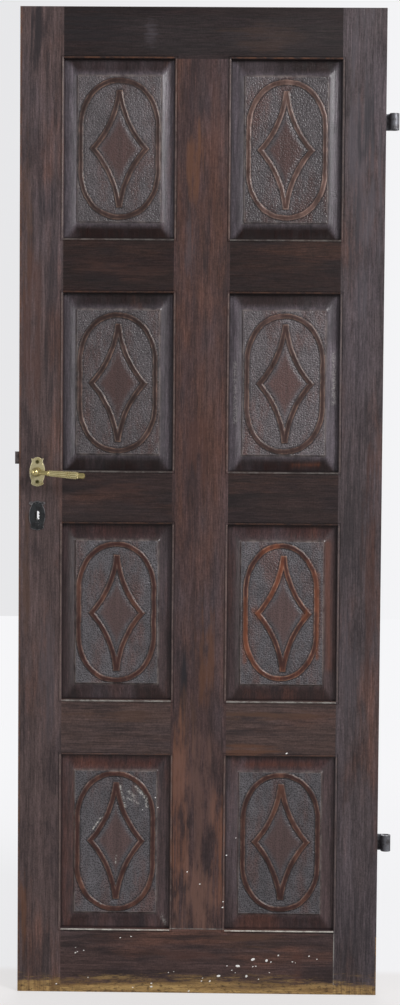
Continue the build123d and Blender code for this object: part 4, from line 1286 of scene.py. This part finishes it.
class LeafFrame:
    """The stiles, rails and muntin, each a board of its own."""

    tongue = 10.0 * MILLIMETRE
    bead_middle = 2.4 * MILLIMETRE
    bead_reach = 2.2 * MILLIMETRE
    # The upright boards' lighter, greyer stains and blue-grey clouding are partly the wood's own
    # tone and partly painted sheen, which leaves the level rails darker.
    rail = {"rubbed": tone(96, 64, 52), "bloom_and_sheen": tone(76, 66, 68)}
    stains = {
        "lock_stile": {"stain": tone(90, 74, 73), "depth": 0.8},
        "hinge_stile": {"stain": tone(86, 75, 77), "depth": 0.72, "bloom_and_sheen_share": 0.6},
        "muntin": {"stain": tone(84, 64, 63), "depth": 0.65, "rubbed_share": 0.6},
        "top_rail": {
            "stain": tone(58, 46, 46), "rubbed": tone(78, 56, 52), "bloom_and_sheen": tone(72, 64, 66),
            "depth": 0.5, "rubbed_share": 0.2,
        },
        "bottom_rail": {"stain": tone(80, 62, 60), "depth": 0.78},
        "cross_rail_1": {"stain": tone(58, 42, 40), "depth": 0.56, **rail},
        "cross_rail_2": {"stain": tone(62, 48, 47), "depth": 0.62, **rail},
        "cross_rail_3": {"stain": tone(84, 66, 62), "depth": 0.82, **rail},
    }

    patches = {
        "lock_stile": (
            (42, 60, 26, 70, BLUE_BLACK, 0.7), (12, 420, 11, 140, BROWN_WEAR, 0.55),
            (52, 385, 18, 45, BLUE_BLACK, 0.75), (66, 620, 16, 130, BLUE_BLACK, 0.45),
            (24, 640, 18, 150, RED_WEAR, 0.4), (14, 1120, 12, 110, BROWN_WEAR, 0.5),
            (62, 1380, 20, 120, HAZE, 0.35), (10, 1830, 7, 90, ORANGE_WEAR, 0.6),
            (45, 1930, 36, 40, BLUE_BLACK, 0.35),
        ),
        "hinge_stile": (
            (690, 300, 30, 260, HAZE, 0.6), (704, 225, 22, 80, BLUE_BLACK, 0.6),
            (718, 380, 10, 160, HAZE, 0.5), (674, 480, 12, 110, BLUE_BLACK, 0.45),
            (680, 1030, 22, 180, BLUE_BLACK, 0.35), (712, 1080, 14, 200, RED_WEAR, 0.4),
            (676, 1330, 18, 100, HAZE, 0.3), (700, 1890, 40, 90, BLUE_BLACK, 0.4),
        ),
        "muntin": (
            (352, 310, 16, 70, ORANGE_WEAR, 0.6), (390, 260, 12, 120, RED_WEAR, 0.35),
            (342, 470, 10, 60, HAZE, 0.4), (366, 880, 34, 60, RED_WEAR, 0.45),
            (380, 1290, 16, 90, ORANGE_WEAR, 0.5), (338, 1330, 8, 46, BLUE_BLACK, 0.8),
            (345, 1450, 16, 60, BROWN_WEAR, 0.4), (330, 1640, 20, 170, tone(120, 80, 62), 0.7),
            (412, 1700, 16, 130, tone(120, 80, 62), 0.7),
            (366, 1820, 44, 90, tone(116, 85, 74), 0.7),
            (366, 1600, 40, 120, tone(108, 80, 72), 0.55),
        ),
        "top_rail": (
            (262, 52, 14, 26, HAZE, 0.5), (150, 50, 90, 34, BLUE_BLACK, 0.4),
            (470, 60, 70, 26, BROWN_WEAR, 0.22),
        ),
        "bottom_rail": (
            (480, 1895, 70, 16, BROWN_WEAR, 0.55), (530, 1900, 24, 14, BLUE_BLACK, 0.5),
            (350, 1895, 44, 22, BLUE_BLACK, 0.5), (360, 1920, 60, 14, RED_WEAR, 0.4),
            (575, 1945, 12, 40, RED_WEAR, 0.5),
        ),
        "cross_rail_3_right": (
            (520, 1428, 110, 12, BROWN_WEAR, 0.8), (470, 1500, 60, 12, ORANGE_WEAR, 0.5),
            (470, 1460, 60, 10, BLUE_BLACK, 0.5),
        ),
        "cross_rail_3_left": (
            (200, 1430, 90, 12, BROWN_WEAR, 0.4),
        ),
        "cross_rail_1_left": (
            (200, 520, 70, 22, RED_WEAR, 0.3),
        ),
        "cross_rail_2_left": (
            (190, 960, 70, 14, RED_WEAR, 0.3),
        ),
    }

    def __init__(self) -> None:
        """Take the edges of the openings from the frame."""
        inset = self.tongue
        rows = (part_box(f"panel_{row}_left") for row in (1, 2, 3, 4))
        columns = (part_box(f"panel_1_{side}") for side in SIDES)
        self.rows = tuple((low.z + inset, high.z - inset) for low, high in rows)
        self.columns = tuple((low.x + inset, high.x - inset) for low, high in columns)

    def bead(self, axis: str, edge: float, way: int, *mark: object) -> Arris:
        """The crest of the bead round an opening: worn, and where its mark is pale, partly painted
        highlight.

        Args:
            axis: The coordinate that the bead keeps.
            edge: The opening's edge, in metres.
            way: On which side of the edge the board lies, +1 or -1.
            mark: The colour, strength, stretches and least strength of what shows.

        Returns:
            The mark.
        """
        return Arris(axis, edge + way * self.bead_middle, self.bead_reach, *mark)

    def edges(self, node: str) -> tuple[Arris, ...]:
        """The worn edges of one board, whose pale bead lines are partly painted highlight."""
        low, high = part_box(node)
        (lock_side, _), (_, hinge_side) = self.columns
        bottom, foot = LEAF_LOW.z, self.rows[3][0]
        marks = {
            "lock_stile": (
                self.bead("X", lock_side, -1, WORN_EDGE_AND_HIGHLIGHT, 0.7, self.rows),
                Arris("X", low.x, 0.005, ORANGE_WEAR, 0.7),
            ),
            "hinge_stile": (
                self.bead("X", hinge_side, 1, WORN_EDGE_AND_HIGHLIGHT, 0.6, self.rows),
                Arris("X", hinge_side + 0.001, 0.0016, PALE_WEAR_AND_HIGHLIGHT, 0.8, ((bottom + 0.02, foot),)),
                Arris("X", high.x, 0.003, OCHRE_EDGE, 0.6, ((bottom, bottom + 0.12),)),
            ),
            "muntin": (
                self.bead("X", low.x, 1, WORN_EDGE_AND_HIGHLIGHT, 0.7, self.rows),
                self.bead("X", high.x, -1, WORN_EDGE_AND_HIGHLIGHT, 0.7, self.rows),
                Arris("Z", foot + 0.001, 0.0016, PALE_WEAR_AND_HIGHLIGHT, 0.7, ((low.x, high.x),)),
            ),
            "top_rail": (self.bead("Z", low.z, 1, ORANGE_WEAR, 0.7, self.columns, 0.0),),
            "bottom_rail": (
                # pale bead line facing up: partly wear, partly painted highlight
                Arris("Z", high.z - 0.0022, 0.0018, BEAD_WEAR_AND_HIGHLIGHT, 1.0, self.columns, 0.5),
                Arris("Z", high.z - 0.0052, 0.0016, UMBER, 0.8, self.columns, 0.5),
            ),
        }
        if node in marks:
            return marks[node]
        row, side = node.split("_")[2:]
        column = (self.columns[SIDES.index(side)],)
        strength = 0.8 if row == "3" else 0.3
        return (
            # the rail's top bead, facing up: pale line of wear and painted highlight
            self.bead("Z", high.z, -1, PALE_WEAR_AND_HIGHLIGHT, strength, column, 0.3 * strength),
            self.bead("Z", low.z, 1, ORANGE_WEAR, 0.4, column, 0.0),
        )

    def build(self) -> None:
        """Dress every board."""
        boards = ["lock_stile", "hinge_stile", "top_rail", "bottom_rail", "muntin"]
        boards += [f"cross_rail_{row}_{side}" for row in (1, 2, 3) for side in SIDES]
        for node in boards:
            stile = node.endswith("stile")
            kind = node.rpartition("_")[0] if node.startswith("cross") else node
            wood = StainedWood(
                name=f"{node}_wood",
                grain=Grain.UPRIGHT if stile or node == "muntin" else Grain.LEVEL,
                seed=sum(map(ord, node)) % 97 / 7,
                arrises=self.edges(node),
                patches=tuple(Patch(*row) for row in self.patches.get(node, ())),
                foot_z=LEAF_LOW.z if stile or node == "bottom_rail" else None,
                **self.stains[kind],
            )
            dress(wood.make(), node)


class Panels:
    """The eight carved panels, in four rows of two."""

    carvings = {
        "panel_1_left": Carving((2.0, -4.0, 0.5, 0.0), (2.0, -2.0, 0.5, 0.0), 0.7, 0.96),
        "panel_1_right": Carving((1.0, -6.0, 1.0, -1.0), (-2.0, -1.0, -0.5, -1.5), 0.62, 0.9),
        "panel_2_left": Carving((-1.0, -3.0, -1.0, -2.0), (1.0, 2.0, 0.0, -2.0), 0.52, 0.82),
        "panel_2_right": Carving((0.0, -3.0, 1.0, -2.0), (-1.0, 3.0, 2.0, -1.5), 0.72, 1.18),
        "panel_3_left": Carving((0.0, 1.0, -1.0, -0.5), (-3.0, 0.0, 0.0, -2.0), 0.64, 1.08),
        "panel_3_right": Carving((-9.0, -6.0, -2.0, 2.0), (-2.0, 0.0, 2.5, -1.0), 0.74, 1.15),
        "panel_4_left": Carving((2.0, 2.0, -1.0, 1.0), (0.0, 5.0, 1.0, 2.5), 0.86, 1.14),
        "panel_4_right": Carving((0.0, 0.0, 1.0, 2.0), (1.0, 2.0, 2.0, 2.5), 0.9, 1.02),
    }
    strokes = {
        "panel_2_right": (
            ("rub", (20, -166), (74, -164), 4.0, 0.4), ("scuff", (100, 60), (101, -40), 4.0, 0.35),
            ("scuff", (-99, 40), (-98, -80), 3.0, 0.3),
        ),
        "panel_3_right": (
            ("rub", (-56, 6), (-46, -8), 6.0, 0.8), ("rub", (52, 4), (44, -10), 6.0, 0.95),
            ("rub", (-75, 30), (-75, -100), 4.0, 0.6), ("rub", (72, 80), (72, -90), 5.0, 0.75),
            ("rub", (92, 140), (98, -110), 9.0, 0.45),
        ),
        "panel_4_left": (
            ("scuff", (9, 116), (20, 72), 1.6), ("scuff", (42, 113), (63, 90), 3.0, 0.9),
            ("scuff", (63, 90), (64, 72), 2.5, 0.9), ("scuff", (26, 104), (40, 92), 3.0, 0.5),
            ("scuff", (24, 90), (46, 80), 2.5, 0.45), ("scuff", (-46, 26), (-28, 51), 1.5, 0.9),
            ("scuff", (2, -29), (1, -44), 1.5, 0.8), ("scuff", (96, -152), (103, -170), 2.5, 0.45),
            ("rub", (-60, 158), (70, 158), 7.0, 0.2),
        ),
        "panel_4_right": (
            ("rub", (-70, 160), (60, 162), 6.0, 0.3),
        ),
    }
    # The upper rows' blue-grey side coves are partly painted sheen; their darker head and foot
    # coves are partly end grain, partly painted shade.
    upper = {
        "stain": tone(104, 95, 102), "bloom_and_sheen_share": 0.5, "rubbed_share": 0.1,
        "head": tone(50, 36, 36), "foot": tone(38, 20, 18), "ground": tone(98, 91, 94),
        "band": tone(68, 50, 47), "pillow": tone(96, 74, 72), "worn_band": tone(94, 72, 68),
    }
    lower = {
        "stain": tone(80, 64, 65), "rubbed": tone(104, 66, 56),
        "head": tone(70, 46, 45), "foot": tone(56, 38, 37), "ground": tone(92, 88, 92),
        "band": tone(70, 42, 38), "pillow": tone(95, 76, 75),
    }
    band_tones = ("band", "worn_band", "worn_and_lit_rim")
    # per panel: band, worn band, and the band crests' pale tone, which is partly painted highlight
    panel_band_tones = {
        "panel_1_right": (tone(92, 68, 62), tone(124, 96, 88), tone(168, 142, 132)),
        "panel_3_right": (tone(70, 42, 38), tone(122, 70, 50), tone(168, 128, 106)),
    }

    def build(self) -> None:
        """Carve every panel."""
        for turn, (node, carving) in enumerate(self.carvings.items()):
            # the panel's own band tones, the crests' pale one partly painted highlight
            worn = dict(zip(self.band_tones, self.panel_band_tones.get(node, ())))
            wood = CarvedWood(
                name=f"{node}_wood", seed=2.7 * turn + 1.3, depth=carving.margin_depth,
                field_depth=carving.field_depth, **{**(self.upper, self.lower)[turn // 4], **worn},
            )
            strokes = tuple(Stroke(*row) for row in self.strokes.get(node, ()))
            CarvedPanel(node, carving, wood.make(), 11 * turn + 5, strokes).build()


@dataclass
class LeverTurnings:
    """The reeds along a lever's grip and the ring of beads at its end. Sizes in millimetres."""

    finish: Material
    droop: float = 4.0
    standoff: float = 42.0
    grip_start: float = 29.2
    grip_end: float = 82.0
    start_radius: float = 5.4
    end_radius: float = 7.1
    reed_count: int = 10
    reed_radius: float = 1.05
    reed_sink: float = 0.6
    reed_stations: int = 7
    sides: int = 10
    bead_count: int = 12
    bead_radius: float = 1.55
    bead_ring: float = 5.3
    bead_place: float = 85.2
    collar_radius: float = 0.75
    collar_points: int = 28
    collar_gap: float = 0.6
    collar_sinks: Pair = (0.1, 0.4)

    def grip_matrix(self, y_face: float, way: int) -> Matrix:
        """Where the grip's own upright axis lies, for a face of the leaf and the way it looks."""
        low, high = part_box("lever_plate_front")
        droop = math.radians(self.droop)
        along = Vector((math.cos(droop), 0.0, -math.sin(droop)))
        up = Vector((math.sin(droop), 0.0, math.cos(droop)))
        turn = Matrix((up, along.cross(up), along)).transposed().to_4x4()
        y = y_face + way * self.standoff * MILLIMETRE
        return Matrix.Translation(((low.x + high.x) / 2, y, (low.z + high.z) / 2)) @ turn

    def repeat(self, piece: Object, count: int) -> Object:
        """Repeat a piece round the grip."""
        ring_tree().run(piece, {"Count": count, "Finish": self.finish})
        return piece

    def reeds(self) -> Object:
        """The reeds, which swell with the grip towards its end."""
        line = np.zeros((self.reed_stations, 3))
        line[:, 0] = self.start_radius - self.reed_sink
        line[:, 2] = np.linspace(self.grip_start, self.grip_end, self.reed_stations)
        reed = bar("reed", line * MILLIMETRE, self.reed_radius, self.sides, self.finish)
        vertices = self.repeat(reed, self.reed_count).data.vertices
        points = np.empty(len(vertices) * 3)
        vertices.foreach_get("co", points)
        points = points.reshape(-1, 3)
        ends = (self.grip_start * MILLIMETRE, self.grip_end * MILLIMETRE)
        swell = np.interp(points[:, 2], ends, (1.0, self.end_radius / self.start_radius))
        points[:, :2] *= swell[:, None]
        vertices.foreach_set("co", points.ravel())
        return reed

    def beads(self) -> Object:
        """The ring of beads in the groove before the end knob."""
        place = (self.bead_ring * MILLIMETRE, 0.0, self.bead_place * MILLIMETRE)
        return self.repeat(ball("bead", self.bead_radius, place), self.bead_count)

    def collar(self, place: float, radius: float) -> Object:
        """A raised ring round the grip."""
        angles = np.linspace(0, math.tau, self.collar_points, endpoint=False)
        level = np.full(self.collar_points, place)
        ring = np.stack([radius * np.cos(angles), radius * np.sin(angles), level], axis=1)
        points = ring * MILLIMETRE
        return bar("collar", points, self.collar_radius, self.sides, self.finish, closed=True)

    def build(self, name: str, y_face: float, way: int) -> None:
        """Make one lever's turnings.

        Args:
            name: What the piece is called.
            y_face: The leaf's face that the lever stands out of, in metres.
            way: The way that face looks, +1 or -1 along y.
        """
        first, last = self.collar_sinks
        pieces = [
            self.reeds(),
            self.beads(),
            self.collar(self.grip_start - self.collar_gap, self.start_radius - first),
            self.collar(self.grip_end + self.collar_gap, self.end_radius - last),
        ]
        attach(merge(name, pieces, self.grip_matrix(y_face, way)), "lever", "lever_brass")


def arc(start: tuple, middle: tuple, end: tuple, count: int = 9) -> list[tuple[float, float]]:
    """Points on the arc through three points, without its end."""
    (ax, ay), (bx, by), (cx, cy) = start, middle, end
    twice = 2 * (ax * (by - cy) + bx * (cy - ay) + cx * (ay - by))
    squares = [x * x + y * y for x, y in (start, middle, end)]
    ux = (squares[0] * (by - cy) + squares[1] * (cy - ay) + squares[2] * (ay - by)) / twice
    uy = (squares[0] * (cx - bx) + squares[1] * (ax - cx) + squares[2] * (bx - ax)) / twice
    radius = math.hypot(ax - ux, ay - uy)
    first, half, last = (math.atan2(y - uy, x - ux) for x, y in (start, middle, end))
    sweep = (last - first) % math.tau
    if (half - first) % math.tau > sweep:
        sweep -= math.tau
    angles = [first + sweep * i / count for i in range(count)]
    return [(ux + radius * math.cos(a), uy + radius * math.sin(a)) for a in angles]


@dataclass
class PlateRelief:
    """The raised rim, scrolls and studs of a lever's or keyhole's plate. Sizes in millimetres.

    The outline's corners are insets from the plate's right edge and its top or bottom edge.
    """

    node: str
    finish: Material
    slot: str
    scrolls: bool = False
    plate_thick: float = 2.5
    step: float = 0.9
    rim_inset: float = 0.62 * 1.1
    rim_radius: float = 0.72
    scroll_radius: float = 0.75
    sides: int = 8
    crown: tuple[Pair, Pair] = ((11.0, 1.1), (7.5, 3.8))
    horn: tuple[Pair, Pair, Pair] = ((2.9, 3.0), (4.6, 8.5), (2.3, 15.0))
    foot: tuple[Pair, ...] = ((2.3, 15.0), (3.9, 10.0), (2.6, 5.4), (6.0, 2.8))
    bulge_points: int = 16
    scroll_middle: Pair = (11.0, 24.6)
    scroll_reach: Pair = (8.6, 1.2)
    scroll_turn: Pair = (168, 400)
    scroll_points: int = 30
    stud_radius: float = 0.9
    studs: tuple[Pair, ...] = ((-2.2, -13.6), (2.2, -13.6), (-2.6, -18.6), (2.6, -18.6))

    def __post_init__(self) -> None:
        """Take the plate's place and size from the frame."""
        low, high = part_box(self.node)
        self.middle = ((low.x + high.x) / 2, (low.z + high.z) / 2)
        self.half = (high.x - low.x) / 2 / MILLIMETRE
        self.top = (high.z - low.z) / 2 / MILLIMETRE
        self.way = -1 if low.y < LEAF_LOW.y else 1
        self.y_face = high.y if self.way < 0 else low.y

    def outline(self) -> np.ndarray:
        """The plate's outline, drawn in to the middle of its rim."""
        crown, side, horn, waist, bulge = (
            (self.half - x, self.top - z) for x, z in self.crown + self.horn
        )
        low_bulge, low_waist, foot_horn, foot_side = (
            (self.half - x, z - self.top) for x, z in self.foot
        )
        right = arc((0.0, self.top), crown, side)
        right += [side]
        right += arc(horn, waist, bulge)
        right += arc(bulge, (self.half, 0.0), low_bulge, self.bulge_points)
        right += arc(low_bulge, low_waist, foot_horn)
        right += [foot_horn, foot_side, (0.0, -self.top)]
        left = [(-x, z) for x, z in right[-2:0:-1]]
        inset = self.rim_inset
        return np.array(right + left) * (1 - inset / self.half, 1 - inset / self.top)

    def scroll(self, side: int) -> np.ndarray:
        """A scroll that springs from the crown and curls under its horn."""
        share = np.linspace(0, 1, self.scroll_points)
        start, sweep = self.scroll_turn
        angle = np.radians(start - sweep * share)
        wide, tight = self.scroll_reach
        reach = (wide - tight) * (1 - share) ** 1.5 + tight
        x = self.scroll_middle[0] + reach * np.cos(angle) * (1 - 0.1 * share)
        z = self.scroll_middle[1] + (0.42 + 0.58 * share) * reach * np.sin(angle)
        return np.stack([side * x, z], axis=1)

    def raised(self, flat: np.ndarray, sunk: float) -> np.ndarray:
        """Turn places on the plate into points.

        Args:
            flat: Millimetres right of the plate's middle and above it.
            sunk: Millimetres below the plate's own face.

        Returns:
            The points, in metres.
        """
        points = np.empty((len(flat), 3))
        points[:, 0] = self.middle[0] + flat[:, 0] * MILLIMETRE
        points[:, 1] = self.y_face + self.way * (self.plate_thick - sunk) * MILLIMETRE
        points[:, 2] = self.middle[1] + flat[:, 1] * MILLIMETRE
        return points

    def build(self) -> None:
        """Make the relief of one plate."""
        look = (self.sides, self.finish)
        line = self.raised(self.outline(), self.step)
        parts = [bar("rim", line, self.rim_radius, *look, closed=True)]
        if self.scrolls:
            for side in (-1, 1):
                line = self.raised(self.scroll(side), 0.1)
                parts.append(bar("scroll", line, self.scroll_radius, *look))
            for place in self.raised(np.array(self.studs), 0.3):
                parts.append(ball("stud", self.stud_radius, place))
        attach(merge(f"{self.node}_relief", parts), "leaf", self.slot)


@dataclass
class Screws:
    """Slotted countersunk screws in place of a node's plain ones. Sizes in millimetres."""

    node: str
    finish: Material
    slot: str
    head: float
    shank: float
    length: float
    columns: int = 1
    rows: int = 2
    faces: tuple[str, ...] = FACES
    seed: int = 4
    slot_share: Pair = (0.24, 0.3)

    def build(self) -> None:
        """Set the screws where the node's own are."""
        low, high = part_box(self.node)
        inset, quarter = self.head * MILLIMETRE, math.pi / 2
        x_places = np.linspace(low.x + inset, high.x - inset, self.columns)
        z_places = np.linspace(low.z + inset, high.z - inset, self.rows)
        y_places = {"front": low.y, "back": high.y, "edge": (low.y + high.y) / 2}
        turns = {"front": (quarter, 0, 0), "back": (-quarter, 0, 0), "edge": (0, -quarter, 0)}
        points, facing = [], []
        for face in self.faces:
            for z in z_places:
                for x in x_places:
                    points.append((low.x if face == "edge" else x, y_places[face], z))
                    facing.append(turns[face])
        piece = new_piece(f"slotted_{self.node}", np.array(points))
        add_layer(piece, "facing", np.array(facing), "FLOAT_VECTOR")
        width, depth = self.slot_share
        sizes = {
            "Head": self.head, "Shank": self.shank, "Length": self.length,
            "Slot Width": width * self.head, "Slot Depth": depth * self.head,
        }
        values = {name: size * MILLIMETRE for name, size in sizes.items()}
        screw_tree().run(piece, {**values, "Seed": self.seed, "Finish": self.finish})
        attach(piece, "leaf", self.slot, self.node)


class Hardware:
    """The lever and its plates, the keyhole plates, the lock and the hinges."""

    metals = {
        "lever_brass": (tone(206, 190, 132), tone(164, 146, 94), 0.35, 0.2, 0.34, 0.00006, 0.7),
        "plate_brass": (tone(222, 211, 168), tone(184, 170, 120), 0.35, 0.2, 0.34, 0.00006, 0.5),
        # reeds and plate rims: paler copies of the brass, painted highlight
        "reed_brass_highlight": (tone(238, 224, 174), tone(212, 194, 140), 0.35, 0.2, 0.34, 0.00006, 0.6),
        "rim_brass_highlight": (tone(244, 234, 198), tone(222, 206, 156), 0.35, 0.2, 0.34, 0.00006, 0.55),
        "screw_brass": (tone(104, 98, 52), tone(66, 62, 34), 0.35, 0.2, 0.55, 0.00006, 0.7),
        "cast_iron": (tone(60, 62, 64), tone(34, 34, 36), 0.5, 0.35, 0.55, 0.0004, 0.5),
        # key plates' rims, scrolls and studs: paler iron, partly wear and partly painted highlight
        "rubbed_iron_highlight": (tone(132, 129, 131), tone(62, 60, 62), 0.5, 0.35, 0.55, 0.0004, 0.5),
        "strap_iron": (tone(128, 128, 134), tone(84, 80, 82), 0.5, 0.45, 0.65, 0.0004, 0.6),
        "lock_steel": (tone(136, 132, 128), tone(84, 74, 68), 0.5, 0.35, 0.55, 0.0002, 0.8),
        "bolt_iron": (tone(104, 92, 92), tone(70, 60, 60), 0.6, 0.45, 0.6, 0.0003, 0.6),
    }
    dressed = {
        "lever_brass": ("lever_front", "lever_back"),
        "plate_brass": ("lever_plate_front", "lever_plate_back"),
        "cast_iron": ("key_plate_front", "key_plate_back"),
        "strap_iron": ("hinge_strap_lower", "hinge_strap_upper"),
        "lock_steel": (
            "spindle", "spindle_pin", "follower", "forend", "lock_case", "lock_cover",
            "lock_cover_screws", "latch_spring", "dead_bolt_spring",
        ),
        "bolt_iron": ("latch_bolt", "dead_bolt"),
    }
    plate_screw = (2.9, 1.3, 12.0)
    hinge_screw = (4.6, 2.2, 25.0)
    forend_screw = (3.8, 1.8, 22.0)
    hollow_inset = 0.003

    def finishes(self) -> dict[str, Material]:
        """Make the metals, the plates' with tarnish round their screws."""
        low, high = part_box("lever_plate_screws")
        levels = (low.z + self.hollow_inset, high.z - self.hollow_inset)
        hollows = tuple(((low.x + high.x) / 2, y, z) for y in (low.y, high.y) for z in levels)
        places = {"plate_brass": hollows}
        return {
            name: AgedMetal(name, *look, places.get(name, ())).make()
            for name, look in self.metals.items()
        }

    def build(self) -> None:
        """Dress every metal piece, and add its relief and screws."""
        made = self.finishes()
        for name, nodes in self.dressed.items():
            dress(made[name], *nodes)
        for face in FACES:
            # the plate rims' and reeds' paler brass is painted highlight
            PlateRelief(f"lever_plate_{face}", made["rim_brass_highlight"], "lever_brass").build()
        turnings = LeverTurnings(made["reed_brass_highlight"])
        turnings.build("front_grip_turnings", LEAF_LOW.y, -1)
        turnings.build("back_grip_turnings", LEAF_HIGH.y, 1)
        brass, iron, strap, steel = (
            made[name] for name in ("screw_brass", "cast_iron", "strap_iron", "lock_steel")
        )
        Screws("lever_plate_screws", brass, "lever_brass", *self.plate_screw).build()
        for face in FACES:
            PlateRelief(f"key_plate_{face}", made["rubbed_iron_highlight"], "dark_iron", scrolls=True).build()
        Screws("key_plate_screws", iron, "dark_iron", *self.plate_screw).build()
        Screws("hinge_screws", strap, "dark_iron", *self.hinge_screw, 3, 2, ("back",)).build()
        Screws("forend_screws", steel, "lock_steel", *self.forend_screw, 1, 2, ("edge",)).build()


class LimeSplashes:
    """White splashes low on the leaf: millimetres across and down, and half their height."""

    places = (
        (483, 1929, 3.0), (511, 1931, 2.8), (452, 1943, 2.7), (413, 1964, 2.6), (470, 1964, 2.5),
        (535, 1920, 1.7), (483, 1944, 1.3), (489, 1943, 1.2), (520, 1934, 1.3), (395, 1975, 1.8),
        (380, 1969, 1.0), (440, 1952, 1.0), (495, 1970, 1.3), (564, 1933, 1.1), (570, 1935, 1.0),
        (598, 1921, 1.3), (614, 1927, 1.1), (447, 1957, 0.8), (517, 1956, 1.0), (430, 1943, 0.9),
        (275, 1988, 1.8), (275, 1981, 1.4), (352, 1996, 1.6), (119, 1919, 1.5), (123, 1917, 1.2),
        (136, 1914, 0.9), (119, 1908, 0.8), (211, 1887, 1.2), (233, 1884, 1.1), (80, 1984, 1.3),
        (145, 1970, 1.1), (310, 1958, 1.0), (321, 1956, 0.9), (378, 1975, 1.3), (347, 1749, 1.4),
        (373, 1774, 1.2), (427, 1714, 1.2), (446, 1678, 1.0), (420, 1822, 1.4), (548, 1503, 1.6),
        (421, 1810, 1.0), (237, 1990, 1.1),
    )
    carved_places = ((281, 1597, 1.6), (286, 1618, 1.1), (255, 1623, 1.0))
    carved_depth = 4.6 * MILLIMETRE
    look = {"Thickness": 0.3 * MILLIMETRE, "Stretch": 1.25, "Seed": 9}
    size_share = 0.85

    def build(self) -> None:
        """Splash the leaf."""
        lime = AgedMetal(
            "lime", tone(246, 244, 241), tone(228, 224, 218), 0.4, 0.85, 0.95, 0.0001, 0.0
        )
        points, sizes = [], []
        for places, sunk in ((self.places, 0.0), (self.carved_places, self.carved_depth)):
            for across, down, size in places:
                x, z = on_leaf(across, down)
                points.append((x, LEAF_LOW.y + sunk, z))
                sizes.append(self.size_share * size * MILLIMETRE)
        piece = new_piece("lime_splashes", np.array(points))
        add_layer(piece, "size", np.array(sizes))
        splash_tree().run(piece, {**self.look, "Finish": lime.make()})
        attach(piece, "leaf", "frame_wood")


def main() -> None:
    """Dress the leaf and set the stage."""
    logging.basicConfig(level=logging.INFO, format="%(name)s: %(message)s")
    LeafFrame().build()
    Panels().build()
    Hardware().build()
    LimeSplashes().build()
    Studio().build()


if __name__ == "__main__":
    main()
